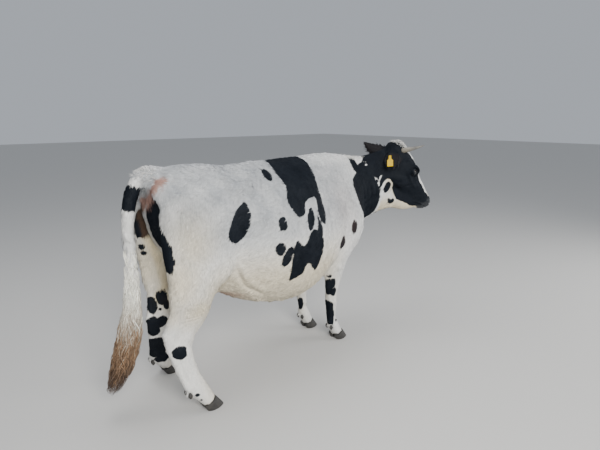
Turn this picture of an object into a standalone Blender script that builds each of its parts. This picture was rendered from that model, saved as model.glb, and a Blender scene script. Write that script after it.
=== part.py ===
"""A standing black-pied dairy cow, life-size, as a museum model.

The flesh is lofted from named stations, joined into one closed body, smoothed, and parted into
head, neck, trunk, udder, tail and legs by thin cuts. Horns, eyes, ears, claws and the ear tag
are solids of their own. Metres, +Z up; the cow faces +X, and +Y is its left side.
"""

import math

import bmesh
import bpy
import numpy as np
from mathutils import Matrix, Vector

# ---------------------------------------------------------------- driving sizes
GAP = 0.0003                # room left between two pieces that touch
MERGE = 0.00005             # points closer than this are one
VOXEL = 0.012               # grain of the joined body
SMOOTH_STEPS = 5            # rounds of smoothing over the joined body
BODY_TRIANGLES = 2350       # what the whole body is thinned to
HEAD_TRIANGLES = 1080       # what the head is thinned to, from the fine mesh
RING_POINTS = 32            # points round each loft
SPAN_STEPS = 4              # rings between two stations

# Trunk stations: x, back height, belly height, half width, height of the widest place, and how
# full the back is over it (2 is an ellipse, less is a ridge, more is a flat croup).
TRUNK = (
    (-0.875, 1.300, 1.100, 0.085, 1.22, 2.2),
    (-0.82, 1.368, 0.930, 0.150, 1.20, 2.3),
    (-0.70, 1.385, 0.800, 0.215, 1.16, 2.3),
    (-0.54, 1.386, 0.640, 0.255, 1.11, 2.3),
    (-0.38, 1.364, 0.525, 0.292, 1.03, 2.3),
    (-0.20, 1.370, 0.450, 0.338, 0.92, 2.0),
    (0.00, 1.376, 0.412, 0.366, 0.87, 1.85),
    (0.16, 1.382, 0.428, 0.358, 0.88, 1.8),
    (0.30, 1.390, 0.485, 0.328, 0.91, 1.8),
    (0.46, 1.396, 0.535, 0.272, 0.94, 1.8),
    (0.62, 1.380, 0.570, 0.222, 0.95, 1.85),
    (0.73, 1.345, 0.605, 0.178, 0.94, 1.9),
    (0.80, 1.300, 0.670, 0.130, 0.93, 2.0),
    (0.85, 1.220, 0.770, 0.070, 0.95, 2.0),
)
TRUNK_KEEL = 2.15           # how round the belly is

# Neck stations: x, y, heading in degrees, crest height, lower edge, half width.
NECK = (
    (0.50, 0.000, 0, 1.370, 0.700, 0.230),
    (0.66, 0.000, -4, 1.368, 0.745, 0.190),
    (0.78, -0.012, -10, 1.352, 0.800, 0.150),
    (0.88, -0.035, -16, 1.360, 0.850, 0.124),
    (0.97, -0.070, -22, 1.386, 0.900, 0.108),
    (1.05, -0.110, -28, 1.410, 0.970, 0.096),
    (1.10, -0.137, -28, 1.400, 1.060, 0.080),
)
# Loose skin under the throat: x, y, heading, upper edge (inside), lower edge, half width.
DEWLAP = (
    (0.80, -0.020, -12, 1.00, 0.800, 0.060),
    (0.90, -0.045, -18, 1.05, 0.853, 0.055),
    (0.99, -0.085, -24, 1.08, 0.900, 0.052),
    (1.08, -0.140, -28, 1.10, 0.928, 0.050),
    (1.17, -0.190, -28, 1.08, 0.910, 0.046),
    (1.24, -0.227, -28, 1.03, 0.912, 0.040),
    (1.29, -0.254, -28, 1.00, 0.928, 0.032),
)

# The head has its own frame: its origin is the middle of the forehead's top edge, +X runs down
# the face to the muzzle, +Y is the cow's left and -Z goes in towards the throat.
HEAD_ORIGIN = (1.170, -0.187, 1.412)
HEAD_HEADING = -28          # degrees from +X, so the head looks to the cow's right
HEAD_PITCH = 58             # degrees down from level
# Head stations: along the face, face line above the axis, depth to the jaw, half width.
HEAD = (
    (-0.090, -0.055, 0.120, 0.050),
    (-0.055, -0.018, 0.170, 0.078),
    (0.000, 0.003, 0.205, 0.094),
    (0.060, 0.019, 0.235, 0.103),
    (0.120, 0.023, 0.248, 0.106),
    (0.180, 0.012, 0.245, 0.100),
    (0.240, 0.002, 0.232, 0.085),
    (0.310, -0.003, 0.210, 0.068),
    (0.370, -0.004, 0.184, 0.060),
    (0.420, -0.003, 0.162, 0.062),
    (0.460, -0.008, 0.148, 0.065),
    (0.492, -0.022, 0.138, 0.062),
    (0.516, -0.040, 0.126, 0.053),
    (0.530, -0.060, 0.106, 0.038),
)
EYE_AT = (0.184, 0.098, -0.056)     # head frame, left eye
EYE_RADIUS = 0.021
HORN_BASE = (-0.008, 0.070, -0.052)
HORN_LENGTH = 0.215
HORN_RADIUS = 0.0205
EAR_BASE = (-0.038, 0.077, -0.114)
EAR_LENGTH = 0.205
EAR_HALF_WIDTH = 0.056
EAR_THICKNESS = 0.012
EAR_BULGE = {"right": -0.012, "left": 0.026}    # the lower edge is the fuller one
# Ear directions in a level frame that faces as the head does: forward, left, up. The right ear
# hangs, the left one is held back.
EAR_TIP = {"right": (-0.28, -0.70, -0.65), "left": (-0.87, 0.33, 0.34)}
EAR_OPENING = {"right": (0.35, 0.60, -0.60), "left": (0.30, 0.90, -0.10)}
TAG_ALONG = 0.36            # share of the ear's length where the tag is pinned
TAG_ASIDE = 0.026           # from the ear's middle line towards its rear edge
TAG_NECK = 0.034
TAG_FLAG = (0.043, 0.059)   # width and height of the flag

# Foreleg stations, for a right leg: height, x, distance from the middle, half depth, half width.
FORELEG = (
    (1.28, 0.485, 0.100, 0.090, 0.040),
    (1.18, 0.495, 0.138, 0.130, 0.072),
    (1.05, 0.508, 0.172, 0.160, 0.090),
    (0.93, 0.515, 0.192, 0.162, 0.094),
    (0.82, 0.495, 0.200, 0.152, 0.090),
    (0.73, 0.452, 0.202, 0.135, 0.078),
    (0.66, 0.424, 0.196, 0.118, 0.068),
    (0.59, 0.412, 0.189, 0.098, 0.058),
    (0.51, 0.408, 0.180, 0.078, 0.051),
    (0.43, 0.407, 0.171, 0.058, 0.047),
    (0.36, 0.410, 0.162, 0.050, 0.046),
    (0.31, 0.414, 0.156, 0.050, 0.050),
    (0.25, 0.420, 0.151, 0.042, 0.042),
    (0.18, 0.430, 0.148, 0.040, 0.037),
    (0.125, 0.446, 0.148, 0.048, 0.047),
    (0.085, 0.464, 0.150, 0.050, 0.048),
    (0.050, 0.484, 0.150, 0.050, 0.050),
    (0.030, 0.490, 0.150, 0.044, 0.046),
)
# Hind leg stations in the same order.
HINDLEG = (
    (1.26, -0.620, 0.150, 0.215, 0.085),
    (1.14, -0.620, 0.172, 0.262, 0.110),
    (1.00, -0.622, 0.190, 0.268, 0.110),
    (0.88, -0.632, 0.200, 0.250, 0.104),
    (0.78, -0.662, 0.202, 0.208, 0.091),
    (0.70, -0.715, 0.198, 0.156, 0.076),
    (0.62, -0.734, 0.188, 0.134, 0.063),
    (0.55, -0.750, 0.172, 0.136, 0.054),
    (0.49, -0.774, 0.162, 0.130, 0.049),
    (0.44, -0.801, 0.160, 0.106, 0.045),
    (0.38, -0.812, 0.168, 0.083, 0.041),
    (0.32, -0.807, 0.182, 0.073, 0.038),
    (0.26, -0.797, 0.200, 0.069, 0.037),
    (0.20, -0.781, 0.220, 0.069, 0.038),
    (0.135, -0.755, 0.240, 0.072, 0.047),
    (0.085, -0.726, 0.252, 0.062, 0.048),
    (0.050, -0.700, 0.258, 0.055, 0.050),
    (0.030, -0.692, 0.258, 0.048, 0.046),
)
# How each foot stands away from its stations, at the hoof: forward, outward.
STANCE = {
    "fore_right": (0.000, 0.000),
    "fore_left": (-0.040, -0.015),
    "hind_right": (0.000, 0.000),
    "hind_left": (0.000, 0.004),
}
HOCK_LEFT = (0.022, 0.052)  # the left hock stands further forward and inward than the right one

HOCK_HEIGHT = 0.48
HOCK_REACH = 0.27           # how far that shift fades up and down the leg

# Tail stations: x, y, z, half width.
TAIL = (
    (-0.780, 0.000, 1.350, 0.040),
    (-0.850, 0.000, 1.352, 0.042),
    (-0.910, 0.000, 1.312, 0.042),
    (-0.950, 0.000, 1.240, 0.040),
    (-0.972, 0.002, 1.148, 0.038),
    (-0.980, 0.006, 1.028, 0.034),
    (-0.980, 0.004, 0.833, 0.033),
    (-0.992, 0.004, 0.640, 0.047),
    (-1.008, 0.006, 0.540, 0.061),
    (-1.026, 0.008, 0.447, 0.071),
    (-1.052, 0.012, 0.353, 0.074),
    (-1.086, 0.018, 0.255, 0.064),
    (-1.124, 0.022, 0.168, 0.042),
    (-1.142, 0.024, 0.136, 0.016),
)

CLAW_LENGTH = 0.112
CLAW_HALF_WIDTH = 0.0265
CLAW_SPREAD = 0.0285        # from the foot's middle to each claw's middle
CORONET_HEIGHT = 0.056      # where the hide meets the horn, at the foot's middle
CORONET_SLOPE = 0.42        # rise of that edge towards the toe
DEWCLAW_RADIUS = 0.016

# Colours, roughness
COAT_WHITE = ((0.80, 0.77, 0.70), 0.85)
COAT_BLACK = ((0.022, 0.024, 0.030), 0.75)
SKIN_PINK = ((0.62, 0.40, 0.33), 0.65)
MUZZLE_BLACK = ((0.018, 0.018, 0.022), 0.45)
HORN_GREY = ((0.50, 0.46, 0.38), 0.50)
CLAW_DARK = ((0.055, 0.048, 0.042), 0.55)
EYE_DARK = ((0.012, 0.008, 0.006), 0.08)
TAG_YELLOW = ((0.90, 0.68, 0.02), 0.40)
SWITCH_BROWN = ((0.30, 0.19, 0.10), 0.85)


# ---------------------------------------------------------------- scene and materials
def clear_scene():
    for old in list(bpy.data.objects):
        bpy.data.objects.remove(old, do_unlink=True)


def finish(name, look):
    colour, roughness = look
    material = bpy.data.materials.new(name)
    material.use_nodes = True
    shader = material.node_tree.nodes["Principled BSDF"]
    shader.inputs["Base Color"].default_value = (*colour, 1.0)
    shader.inputs["Roughness"].default_value = roughness
    shader.inputs["Metallic"].default_value = 0.0
    return material


def add_object(name, mesh, look=None):
    mesh.name = name
    piece = bpy.data.objects.new(name, mesh)
    bpy.context.scene.collection.objects.link(piece)
    if look:
        mesh.materials.clear()
        mesh.materials.append(finish(name, look))
    return piece


def mesh_from(shape, name="shape"):
    bmesh.ops.recalc_face_normals(shape, faces=shape.faces)
    mesh = bpy.data.meshes.new(name)
    shape.to_mesh(mesh)
    shape.free()
    return mesh


def baked(piece):
    """The piece's mesh with its modifiers applied."""
    bpy.context.view_layer.update()
    graph = bpy.context.evaluated_depsgraph_get()
    return bpy.data.meshes.new_from_object(piece.evaluated_get(graph))


def remove(piece):
    bpy.data.objects.remove(piece, do_unlink=True)


# ---------------------------------------------------------------- lofts
def smooth_rows(rows, steps=SPAN_STEPS):
    """Rows on a Catmull-Rom curve through the given rows."""
    rows = np.array(rows, dtype=float)
    padded = np.vstack([2 * rows[0] - rows[1], rows, 2 * rows[-1] - rows[-2]])
    out = []
    for i in range(1, len(padded) - 2):
        a, b, c, d = padded[i - 1:i + 3]
        for step in range(steps):
            t = step / steps
            row = 0.5 * (2 * b + (c - a) * t + (2 * a - 5 * b + 4 * c - d) * t ** 2
                         + (3 * b - a - 3 * c + d) * t ** 3)
            out.append(row.tolist())
    out.append(rows[-1].tolist())
    return out


def power(value, exponent):
    """Keeps the sign of a cosine or sine while bending its curve."""
    return math.copysign(abs(value) ** exponent, value)


def ring_angles(count=RING_POINTS):
    return [2 * math.pi * i / count for i in range(count)]


def upright_ring(centre, heading, half_width, top, low, widest, roof=2.0, keel=2.0):
    """A closed section in the upright plane across the given heading."""
    side = Vector((-math.sin(heading), math.cos(heading), 0))
    points = []
    for angle in ring_angles():
        across, up = math.cos(angle), math.sin(angle)
        bend, reach = (roof, top - widest) if up >= 0 else (keel, widest - low)
        spot = Vector((centre[0], centre[1], widest)) + side * half_width * power(across, 2 / bend)
        spot.z += reach * power(up, 2 / bend)
        points.append(spot)
    return points


def level_ring(x, y, z, half_depth, half_width):
    return [Vector((x + half_depth * math.cos(a), y + half_width * math.sin(a), z))
            for a in ring_angles()]


def loft(rings):
    """A closed skin over the rings, with a fan on each end."""
    shape = bmesh.new()
    loops = [[shape.verts.new(point) for point in ring] for ring in rings]
    count = len(rings[0])
    for near, far in zip(loops, loops[1:]):
        for i in range(count):
            j = (i + 1) % count
            shape.faces.new((near[i], near[j], far[j], far[i]))
    for loop, ring in ((loops[0], rings[0]), (loops[-1], rings[-1])):
        middle = shape.verts.new(sum(ring, Vector()) / count)
        for i in range(count):
            shape.faces.new((loop[i], loop[(i + 1) % count], middle))
    return mesh_from(shape)


def ovoid(centre, radii, turn=None, segments=20, rings=14):
    """An ellipsoid, turned by the given matrix about its middle."""
    shape = bmesh.new()
    bmesh.ops.create_uvsphere(shape, u_segments=segments, v_segments=rings, radius=1.0)
    bmesh.ops.scale(shape, vec=radii, verts=shape.verts)
    if turn:
        bmesh.ops.transform(shape, matrix=turn.to_4x4(), verts=shape.verts)
    bmesh.ops.translate(shape, vec=centre, verts=shape.verts)
    return mesh_from(shape)


def joined(meshes):
    shape = bmesh.new()
    for mesh in meshes:
        shape.from_mesh(mesh)
    return mesh_from(shape, "joined")


# ---------------------------------------------------------------- head frame
def head_matrix():
    turn = Matrix.Rotation(math.radians(HEAD_HEADING), 4, "Z")
    tilt = Matrix.Rotation(math.radians(HEAD_PITCH), 4, "Y")
    return Matrix.Translation(HEAD_ORIGIN) @ turn @ tilt


def in_head(point):
    return head_matrix() @ Vector(point)


def head_ovoid(centre, radii):
    return ovoid(in_head(centre), radii, head_matrix().to_3x3())


# ---------------------------------------------------------------- flesh, region by region
def trunk_mesh():
    rings = [upright_ring((x, 0), 0, wide, top, low, widest, roof, TRUNK_KEEL)
             for x, top, low, wide, widest, roof in smooth_rows(TRUNK)]
    return loft(rings)


def neck_mesh():
    rings = []
    for x, y, heading, top, low, wide in smooth_rows(NECK):
        widest = low + 0.52 * (top - low)
        rings.append(upright_ring((x, y), math.radians(heading), wide, top, low, widest, 1.7, 1.8))
    return loft(rings)


def dewlap_mesh():
    rings = []
    for x, y, heading, top, low, wide in smooth_rows(DEWLAP):
        rings.append(upright_ring((x, y), math.radians(heading), wide, top, low, (top + low) / 2))
    return loft(rings)


def head_mesh():
    rings = []
    for along, face, depth, wide in smooth_rows(HEAD):
        ring = []
        for angle in ring_angles():
            across, up = math.cos(angle), math.sin(angle)
            middle = -0.38 * depth
            reach = face - middle if up >= 0 else depth + middle
            bend = 2.5 if up >= 0 else 1.75
            ring.append(in_head((along, wide * power(across, 2 / bend),
                                 middle + reach * power(up, 2 / bend))))
        rings.append(ring)
    return loft(rings)


def head_forms():
    """Brow, cheek, nostril pads, chin and the tuft on the poll."""
    forms = [head_ovoid((-0.022, 0.0, -0.034), (0.052, 0.066, 0.034)),
             head_ovoid((0.430, 0.0, -0.128), (0.085, 0.046, 0.028))]
    for side in (-1, 1):
        forms.append(head_ovoid((0.176, side * 0.092, -0.038), (0.050, 0.028, 0.036)))
        forms.append(head_ovoid((0.170, side * 0.066, -0.160), (0.085, 0.034, 0.070)))
        forms.append(head_ovoid((0.480, side * 0.040, -0.052), (0.034, 0.028, 0.038)))
        forms.append(head_ovoid((-0.006, side * 0.062, -0.062), (0.040, 0.030, 0.040)))
    return forms


def body_forms():
    """Bony corners and the udder with its teats."""
    forms = [ovoid((-0.560, 0, 0.690), (0.165, 0.115, 0.135)),
             ovoid((-0.800, 0, 1.350), (0.100, 0.055, 0.036)),
             ovoid((0.685, 0, 0.735), (0.130, 0.105, 0.150))]
    for side in (-1, 1):
        forms.append(ovoid((-0.370, side * 0.208, 1.222), (0.120, 0.055, 0.082)))
        forms.append(ovoid((-0.825, side * 0.120, 1.250), (0.065, 0.055, 0.070)))
        forms.append(ovoid((-0.620, side * 0.200, 1.060), (0.170, 0.090, 0.170)))
        forms.append(ovoid((0.590, side * 0.200, 0.920), (0.085, 0.055, 0.110)))
        for x in (-0.625, -0.545):
            forms.append(ovoid((x, side * 0.036, 0.560), (0.016, 0.016, 0.052)))
    return forms


def leg_mesh(stations, stance, side, hock_shift=(0.0, 0.0)):
    """One leg from its stations, shifted step by step from the body down to the hoof."""
    forward, outward = stance
    reach_top = 0.90
    rings = []
    for z, x, y, deep, wide in smooth_rows(stations):
        share = min(1.0, max(0.0, (reach_top - z) / reach_top))
        hock = math.exp(-((z - HOCK_HEIGHT) / HOCK_REACH) ** 2)
        rings.append(level_ring(x + forward * share + hock * hock_shift[0],
                                side * (y + outward * share - hock * hock_shift[1]), z, deep, wide))
    return loft(rings)


def leg_meshes():
    return [leg_mesh(FORELEG, STANCE["fore_right"], -1),
            leg_mesh(FORELEG, STANCE["fore_left"], 1),
            leg_mesh(HINDLEG, STANCE["hind_right"], -1),
            leg_mesh(HINDLEG, STANCE["hind_left"], 1, HOCK_LEFT)]


def flesh():
    """The whole body as one closed and smoothed fine mesh."""
    meshes = [trunk_mesh(), neck_mesh(), dewlap_mesh(), head_mesh()]
    meshes += head_forms() + body_forms() + leg_meshes()
    body = add_object("flesh", joined(meshes))
    remesh = body.modifiers.new("join", "REMESH")
    remesh.mode = "VOXEL"
    remesh.voxel_size = VOXEL
    smooth = body.modifiers.new("smooth", "SMOOTH")
    smooth.factor = 0.5
    smooth.iterations = SMOOTH_STEPS
    mesh = baked(body)
    remove(body)
    return mesh


def thinned(mesh, triangles):
    """The mesh with about that many triangles."""
    piece = add_object("thinned", mesh.copy())
    thin = piece.modifiers.new("thin", "DECIMATE")
    thin.ratio = triangles / sum(len(face.vertices) - 2 for face in mesh.polygons)
    result = baked(piece)
    remove(piece)
    return result


# ---------------------------------------------------------------- cutting
def cut(mesh, cutter_mesh, operation):
    """The mesh after one Boolean with another."""
    piece = add_object("cut_piece", mesh.copy())
    cutter = add_object("cutter", cutter_mesh.copy())
    step = piece.modifiers.new("cut", "BOOLEAN")
    step.operation = operation
    step.object = cutter
    step.solver = "EXACT"
    step.use_self = True
    result = baked(piece)
    remove(piece)
    remove(cutter)
    return tidied(result)


def tidied(mesh):
    """The mesh without slivers, and closed where a sliver left a slit."""
    shape = bmesh.new()
    shape.from_mesh(mesh)
    bmesh.ops.remove_doubles(shape, verts=shape.verts, dist=MERGE)
    bmesh.ops.dissolve_degenerate(shape, edges=shape.edges, dist=MERGE)
    flaps = [face for face in shape.faces
             if max(len(edge.link_faces) for edge in face.edges) > 2
             and min(len(edge.link_faces) for edge in face.edges) == 1]
    bmesh.ops.delete(shape, geom=flaps, context="FACES")
    slit = [edge for edge in shape.edges if len(edge.link_faces) == 1]
    bmesh.ops.holes_fill(shape, edges=slit, sides=0)
    bmesh.ops.triangulate(shape, faces=shape.faces)
    return mesh_from(shape)


def swollen(mesh, amount):
    """The mesh moved outward along its normals."""
    shape = bmesh.new()
    shape.from_mesh(mesh)
    shape.normal_update()
    for vertex in shape.verts:
        vertex.co += vertex.normal * amount
    return mesh_from(shape)


def sliced(mesh, point, normal):
    """The closed part of the mesh on the side that the normal points to, half a gap short."""
    normal = Vector(normal).normalized()
    shape = bmesh.new()
    shape.from_mesh(mesh)
    everything = list(shape.verts) + list(shape.edges) + list(shape.faces)
    done = bmesh.ops.bisect_plane(shape, geom=everything, dist=1e-6,
                                  plane_co=Vector(point) + normal * GAP / 2, plane_no=normal,
                                  clear_inner=True)
    rim = [item for item in done["geom_cut"] if isinstance(item, bmesh.types.BMEdge)]
    bmesh.ops.holes_fill(shape, edges=rim, sides=0)
    bmesh.ops.triangulate(shape, faces=shape.faces)
    return mesh_from(shape)


def split(mesh, point, normal):
    """Both closed parts: the one the normal points to, then the other."""
    return sliced(mesh, point, normal), sliced(mesh, point, -Vector(normal))


def block(corners):
    """A convex box from eight corners: four below, then four above, each going round."""
    shape = bmesh.new()
    verts = [shape.verts.new(corner) for corner in corners]
    shape.faces.new(verts[0:4])
    shape.faces.new(verts[4:8])
    for i in range(4):
        j = (i + 1) % 4
        shape.faces.new((verts[i], verts[j], verts[4 + j], verts[4 + i]))
    return mesh_from(shape)


def leg_block(side, low, high, corners_low, corners_high):
    """A block between two levels; each level has back, front, and inner and outer distance."""
    def level(z_in, z_out, back, front, inner, outer):
        return [(back, side * inner, z_in), (front, side * inner, z_in),
                (front, side * outer, z_out), (back, side * outer, z_out)]
    return block(level(low[0], low[1], *corners_low) + level(high[0], high[1], *corners_high))


def fore_block(side):
    """The room a foreleg takes: slanting up from the armpit to the outside."""
    return leg_block(side, (-0.05, -0.05), (0.570, 0.850),
                     (0.300, 0.760, 0.050, 0.460), (0.285, 0.760, 0.050, 0.460))


def hind_block(side):
    """The room a thigh takes, from above the hock to the hip."""
    return leg_block(side, (0.540, 0.540), (0.800, 1.060),
                     (-1.02, -0.585, 0.055, 0.460), (-1.02, -0.450, 0.100, 0.460))


def shank_block(side):
    """The room a hind leg takes below the thigh."""
    return leg_block(side, (-0.05, -0.05), (0.540, 0.540),
                     (-1.02, -0.540, 0.055, 0.460), (-1.02, -0.585, 0.055, 0.460))


# ---------------------------------------------------------------- feet
def foot_spot(name):
    """Middle of the foot on the floor, for example of fore_right."""
    stations = FORELEG if name.startswith("fore") else HINDLEG
    side = -1 if name.endswith("right") else 1
    forward, outward = STANCE[name]
    return Vector((stations[-1][1] + forward, side * (stations[-1][2] + outward), 0)), side


def coronet(name):
    spot, _ = foot_spot(name)
    return spot + Vector((0, 0, CORONET_HEIGHT)), Vector((-CORONET_SLOPE, 0, 1)).normalized()


def claw_mesh(spot, inward):
    """One claw: a pointed sole, a sloping front wall and a slanted top. Inward is -1 or 1."""
    levels = ((0.0, 0.97), (0.004, 1.0), (0.050, 0.93), (0.098, 0.84))
    rings = []
    for height, size in levels:
        ring = []
        for angle in ring_angles(14):
            along, across = math.cos(angle), math.sin(angle)
            reach = CLAW_LENGTH * (0.56 if along > 0 else 0.44)
            taper = 1 - 0.30 * max(0.0, along) ** 2
            flat = 0.86 if across * inward > 0 else 1.0
            ring.append(Vector((spot.x + 0.018 + reach * size * along - 0.62 * height,
                                spot.y + CLAW_HALF_WIDTH * size * taper * flat * power(across, 0.8)
                                + inward * 0.006 * max(0.0, along), height)))
        rings.append(ring)
    return loft(rings)


def make_foot(name, leg):
    """Two claws and two dewclaws under one leg; gives back the leg without their room."""
    spot, side = foot_spot(name)
    point, normal = coronet(name)
    leg = sliced(leg, point, normal)
    fore = name.startswith("fore")
    fetlock = (FORELEG if fore else HINDLEG)[-4]
    for label, outward in (("outer", 1), ("inner", -1)):
        middle = spot + Vector((0, side * outward * CLAW_SPREAD, 0))
        claw = sliced(claw_mesh(middle, -side * outward), point, -normal)
        smooth_shade(add_object(f"claw_{name}_{label}", claw, CLAW_DARK))
        forward, spread = STANCE[name]
        rear = fetlock[1] + forward - 0.80 * fetlock[3]
        place = Vector((rear, side * (fetlock[2] + spread + outward * 0.022), fetlock[0] - 0.012))
        dewclaw = ovoid(place, (DEWCLAW_RADIUS, DEWCLAW_RADIUS * 0.85, DEWCLAW_RADIUS * 1.3),
                        Matrix.Rotation(math.radians(-20), 3, "Y"), 7, 4)
        leg = cut(leg, swollen(dewclaw, GAP), "DIFFERENCE")
        smooth_shade(add_object(f"dewclaw_{name}_{label}", dewclaw, CLAW_DARK))
    return leg


# ---------------------------------------------------------------- ears, horns, eyes, tag
def horn_mesh(side):
    """A tapering horn that goes out and bends forward and a little up."""
    rings = []
    steps = 9
    spot = Vector((HORN_BASE[0], side * (HORN_BASE[1] - 0.02), HORN_BASE[2]))
    for step in range(steps + 1):
        share = step / steps
        swing = math.radians(8 + 74 * share ** 0.8)
        aim = Vector((0.22 * share + 0.05, side * math.cos(swing), math.sin(swing))).normalized()
        radius = HORN_RADIUS * (1 - share ** 2.2) ** 0.8 * (1 - 0.30 * share) + 0.0016
        across = aim.cross(Vector((1, 0, 0))).normalized()
        other = aim.cross(across).normalized()
        rings.append([in_head(spot + radius * (across * math.cos(a) + other * math.sin(a)))
                      for a in ring_angles(10)])
        spot = spot + aim * (HORN_LENGTH / steps)
    return loft(rings)


def ear_frame(hand):
    """Base, direction to the tip, the way the cup opens, and the direction across, in the world."""
    turn = Matrix.Rotation(math.radians(HEAD_HEADING), 3, "Z")
    side = -1 if hand == "right" else 1
    base = in_head((EAR_BASE[0], side * EAR_BASE[1], EAR_BASE[2]))
    tip = (turn @ Vector(EAR_TIP[hand])).normalized()
    opening = turn @ Vector(EAR_OPENING[hand])
    opening = (opening - tip * opening.dot(tip)).normalized()
    return base, tip, opening, tip.cross(opening).normalized()


def ear_mesh(hand):
    """A cupped leaf with a round stem."""
    base, tip, opening, across = ear_frame(hand)
    rings = []
    count = 8
    for step in range(count + 1):
        share = step / count
        leaf = math.sin(math.pi * (0.13 + 0.86 * share) ** 0.90)
        half = max(0.006, EAR_HALF_WIDTH * leaf ** 0.72)
        cup = 0.50 * (1 - share) + 0.08
        thick = EAR_THICKNESS * (1.30 - 0.70 * share)
        middle = base + tip * (EAR_LENGTH * share - 0.020)
        middle += across * (EAR_BULGE[hand] * math.sin(math.pi * share))
        ring = []
        for angle in ring_angles(10):
            sway = math.cos(angle)
            lift = cup * half * (sway ** 2 - 0.5)
            ring.append(middle + across * half * sway
                        + opening * (lift + 0.5 * thick * math.sin(angle)))
        rings.append(ring)
    return loft(rings)


def tag_pin():
    """Where the tag's pin crosses the middle of the ear's thickness."""
    base, tip, opening, across = ear_frame("right")
    return base + tip * (TAG_ALONG * EAR_LENGTH) - across * TAG_ASIDE


def disc(spot, tip, opening, across, rows):
    """A round solid from rows of height along the opening and radius."""
    return loft([[spot + opening * height + radius * (tip * math.cos(a) + across * math.sin(a))
                  for a in ring_angles(8)] for height, radius in rows])


def tag_mesh(ear):
    """A blank flag on a narrow neck, with a boss that reaches the outside of the ear."""
    _, tip, opening, across = ear_frame("right")
    spot = tag_pin() - opening * 0.022
    hang = (tip + opening * 0.06).normalized()
    out = hang.cross(across).normalized()
    half, height = TAG_FLAG[0] / 2, TAG_FLAG[1]
    outline = ((-0.009, -0.012), (0.009, -0.012), (0.010, TAG_NECK - 0.014), (half, TAG_NECK),
               (half, TAG_NECK + height), (-half, TAG_NECK + height), (-half, TAG_NECK),
               (-0.010, TAG_NECK - 0.014))
    shape = bmesh.new()
    face = shape.faces.new([shape.verts.new(spot + across * x + hang * y) for x, y in outline])
    grown = bmesh.ops.extrude_face_region(shape, geom=[face])
    lifted = [item for item in grown["geom"] if isinstance(item, bmesh.types.BMVert)]
    bmesh.ops.translate(shape, vec=out * 0.0024, verts=lifted)
    boss = disc(spot, tip, opening, across, ((-0.004, 0.006), (0.001, 0.007), (0.014, 0.007)))
    return cut(cut(mesh_from(shape), boss, "UNION"), swollen(ear, GAP), "DIFFERENCE")


def button_mesh(ear):
    """The tag's round button in the ear's cup."""
    _, tip, opening, across = ear_frame("right")
    rows = ((0.000, 0.013), (0.010, 0.013), (0.015, 0.008))
    return cut(disc(tag_pin(), tip, opening, across, rows), swollen(ear, GAP), "DIFFERENCE")


def smooth_shade(piece):
    piece.data.shade_smooth()
    piece.data.set_sharp_from_angle(angle=math.radians(50))
    return piece


# ---------------------------------------------------------------- tail
def tail_mesh():
    rows = smooth_rows(TAIL, 2)
    rings = []
    for i, row in enumerate(rows):
        near, far = rows[max(i - 1, 0)], rows[min(i + 1, len(rows) - 1)]
        aim = (Vector(far[:3]) - Vector(near[:3])).normalized()
        side = Vector((0, 1, 0))
        other = aim.cross(side).normalized()
        rings.append([Vector(row[:3]) + row[3] * (side * math.cos(a) + other * math.sin(a))
                      for a in ring_angles(10)])
    return loft(rings)


def make_tail(body):
    tail = cut(tail_mesh(), swollen(body, GAP), "DIFFERENCE")
    rest, dock = split(tail, (-0.95, 0, 1.080), (0, 0, -1))
    switch, mid = split(rest, (-1.0, 0, 0.640), (0, 0, -1))
    smooth_shade(add_object("tail_dock", dock, COAT_WHITE))
    smooth_shade(add_object("tail_mid", mid, COAT_WHITE))
    smooth_shade(add_object("tail_switch", switch, SWITCH_BROWN))


# ---------------------------------------------------------------- the whole animal
def make_legs(body):
    """Cuts the four legs off the body, adds their feet, and gives back what is left."""
    rooms = []
    for side, hand in ((-1, "right"), (1, "left")):
        for room, name in ((fore_block(side), "fore"), (hind_block(side), "thigh"),
                           (shank_block(side), "hind")):
            leg = cut(body, swollen(room, -GAP / 2), "INTERSECT")
            rooms.append(swollen(room, GAP / 2))
            if name == "thigh":
                smooth_shade(add_object(f"hindleg_{hand}_thigh", leg, COAT_WHITE))
                continue
            leg = make_foot(f"{name}_{hand}", leg)
            if name == "fore":
                upper, lower = split(leg, (0.434, 0, 0.335), (0, 0, 1))
                smooth_shade(add_object(f"foreleg_{hand}_upper", upper, COAT_WHITE))
                look = COAT_BLACK if hand == "right" else COAT_WHITE
                smooth_shade(add_object(f"foreleg_{hand}_lower", lower, look))
            else:
                hock, cannon = split(leg, (-0.80, 0, 0.400), (0.25, 0, 1))
                smooth_shade(add_object(f"hindleg_{hand}_hock", hock, COAT_WHITE))
                smooth_shade(add_object(f"hindleg_{hand}_cannon", cannon, COAT_WHITE))
    return cut(body, joined(rooms), "DIFFERENCE")


def make_head(head):
    for side, hand in ((-1, "right"), (1, "left")):
        eye = ovoid(in_head((EYE_AT[0], side * EYE_AT[1], EYE_AT[2])), (EYE_RADIUS,) * 3, None, 12, 8)
        horn = cut(horn_mesh(side), swollen(head, GAP), "DIFFERENCE")
        ear = cut(ear_mesh(hand), swollen(head, GAP), "DIFFERENCE")
        head = cut(head, swollen(eye, GAP), "DIFFERENCE")
        smooth_shade(add_object(f"eye_{hand}", eye, EYE_DARK))
        smooth_shade(add_object(f"horn_{hand}", horn, HORN_GREY))
        smooth_shade(add_object(f"ear_{hand}", ear, COAT_BLACK))
        if hand == "right":
            add_object("ear_tag", tag_mesh(ear), TAG_YELLOW)
            smooth_shade(add_object("ear_tag_button", button_mesh(ear), TAG_YELLOW))
    lower, upper = split(head, in_head((0.400, 0, 0)), head_matrix().to_3x3() @ Vector((1, 0, 0)))
    smooth_shade(add_object("muzzle", lower, MUZZLE_BLACK))
    smooth_shade(add_object("head", upper, COAT_BLACK))


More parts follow.
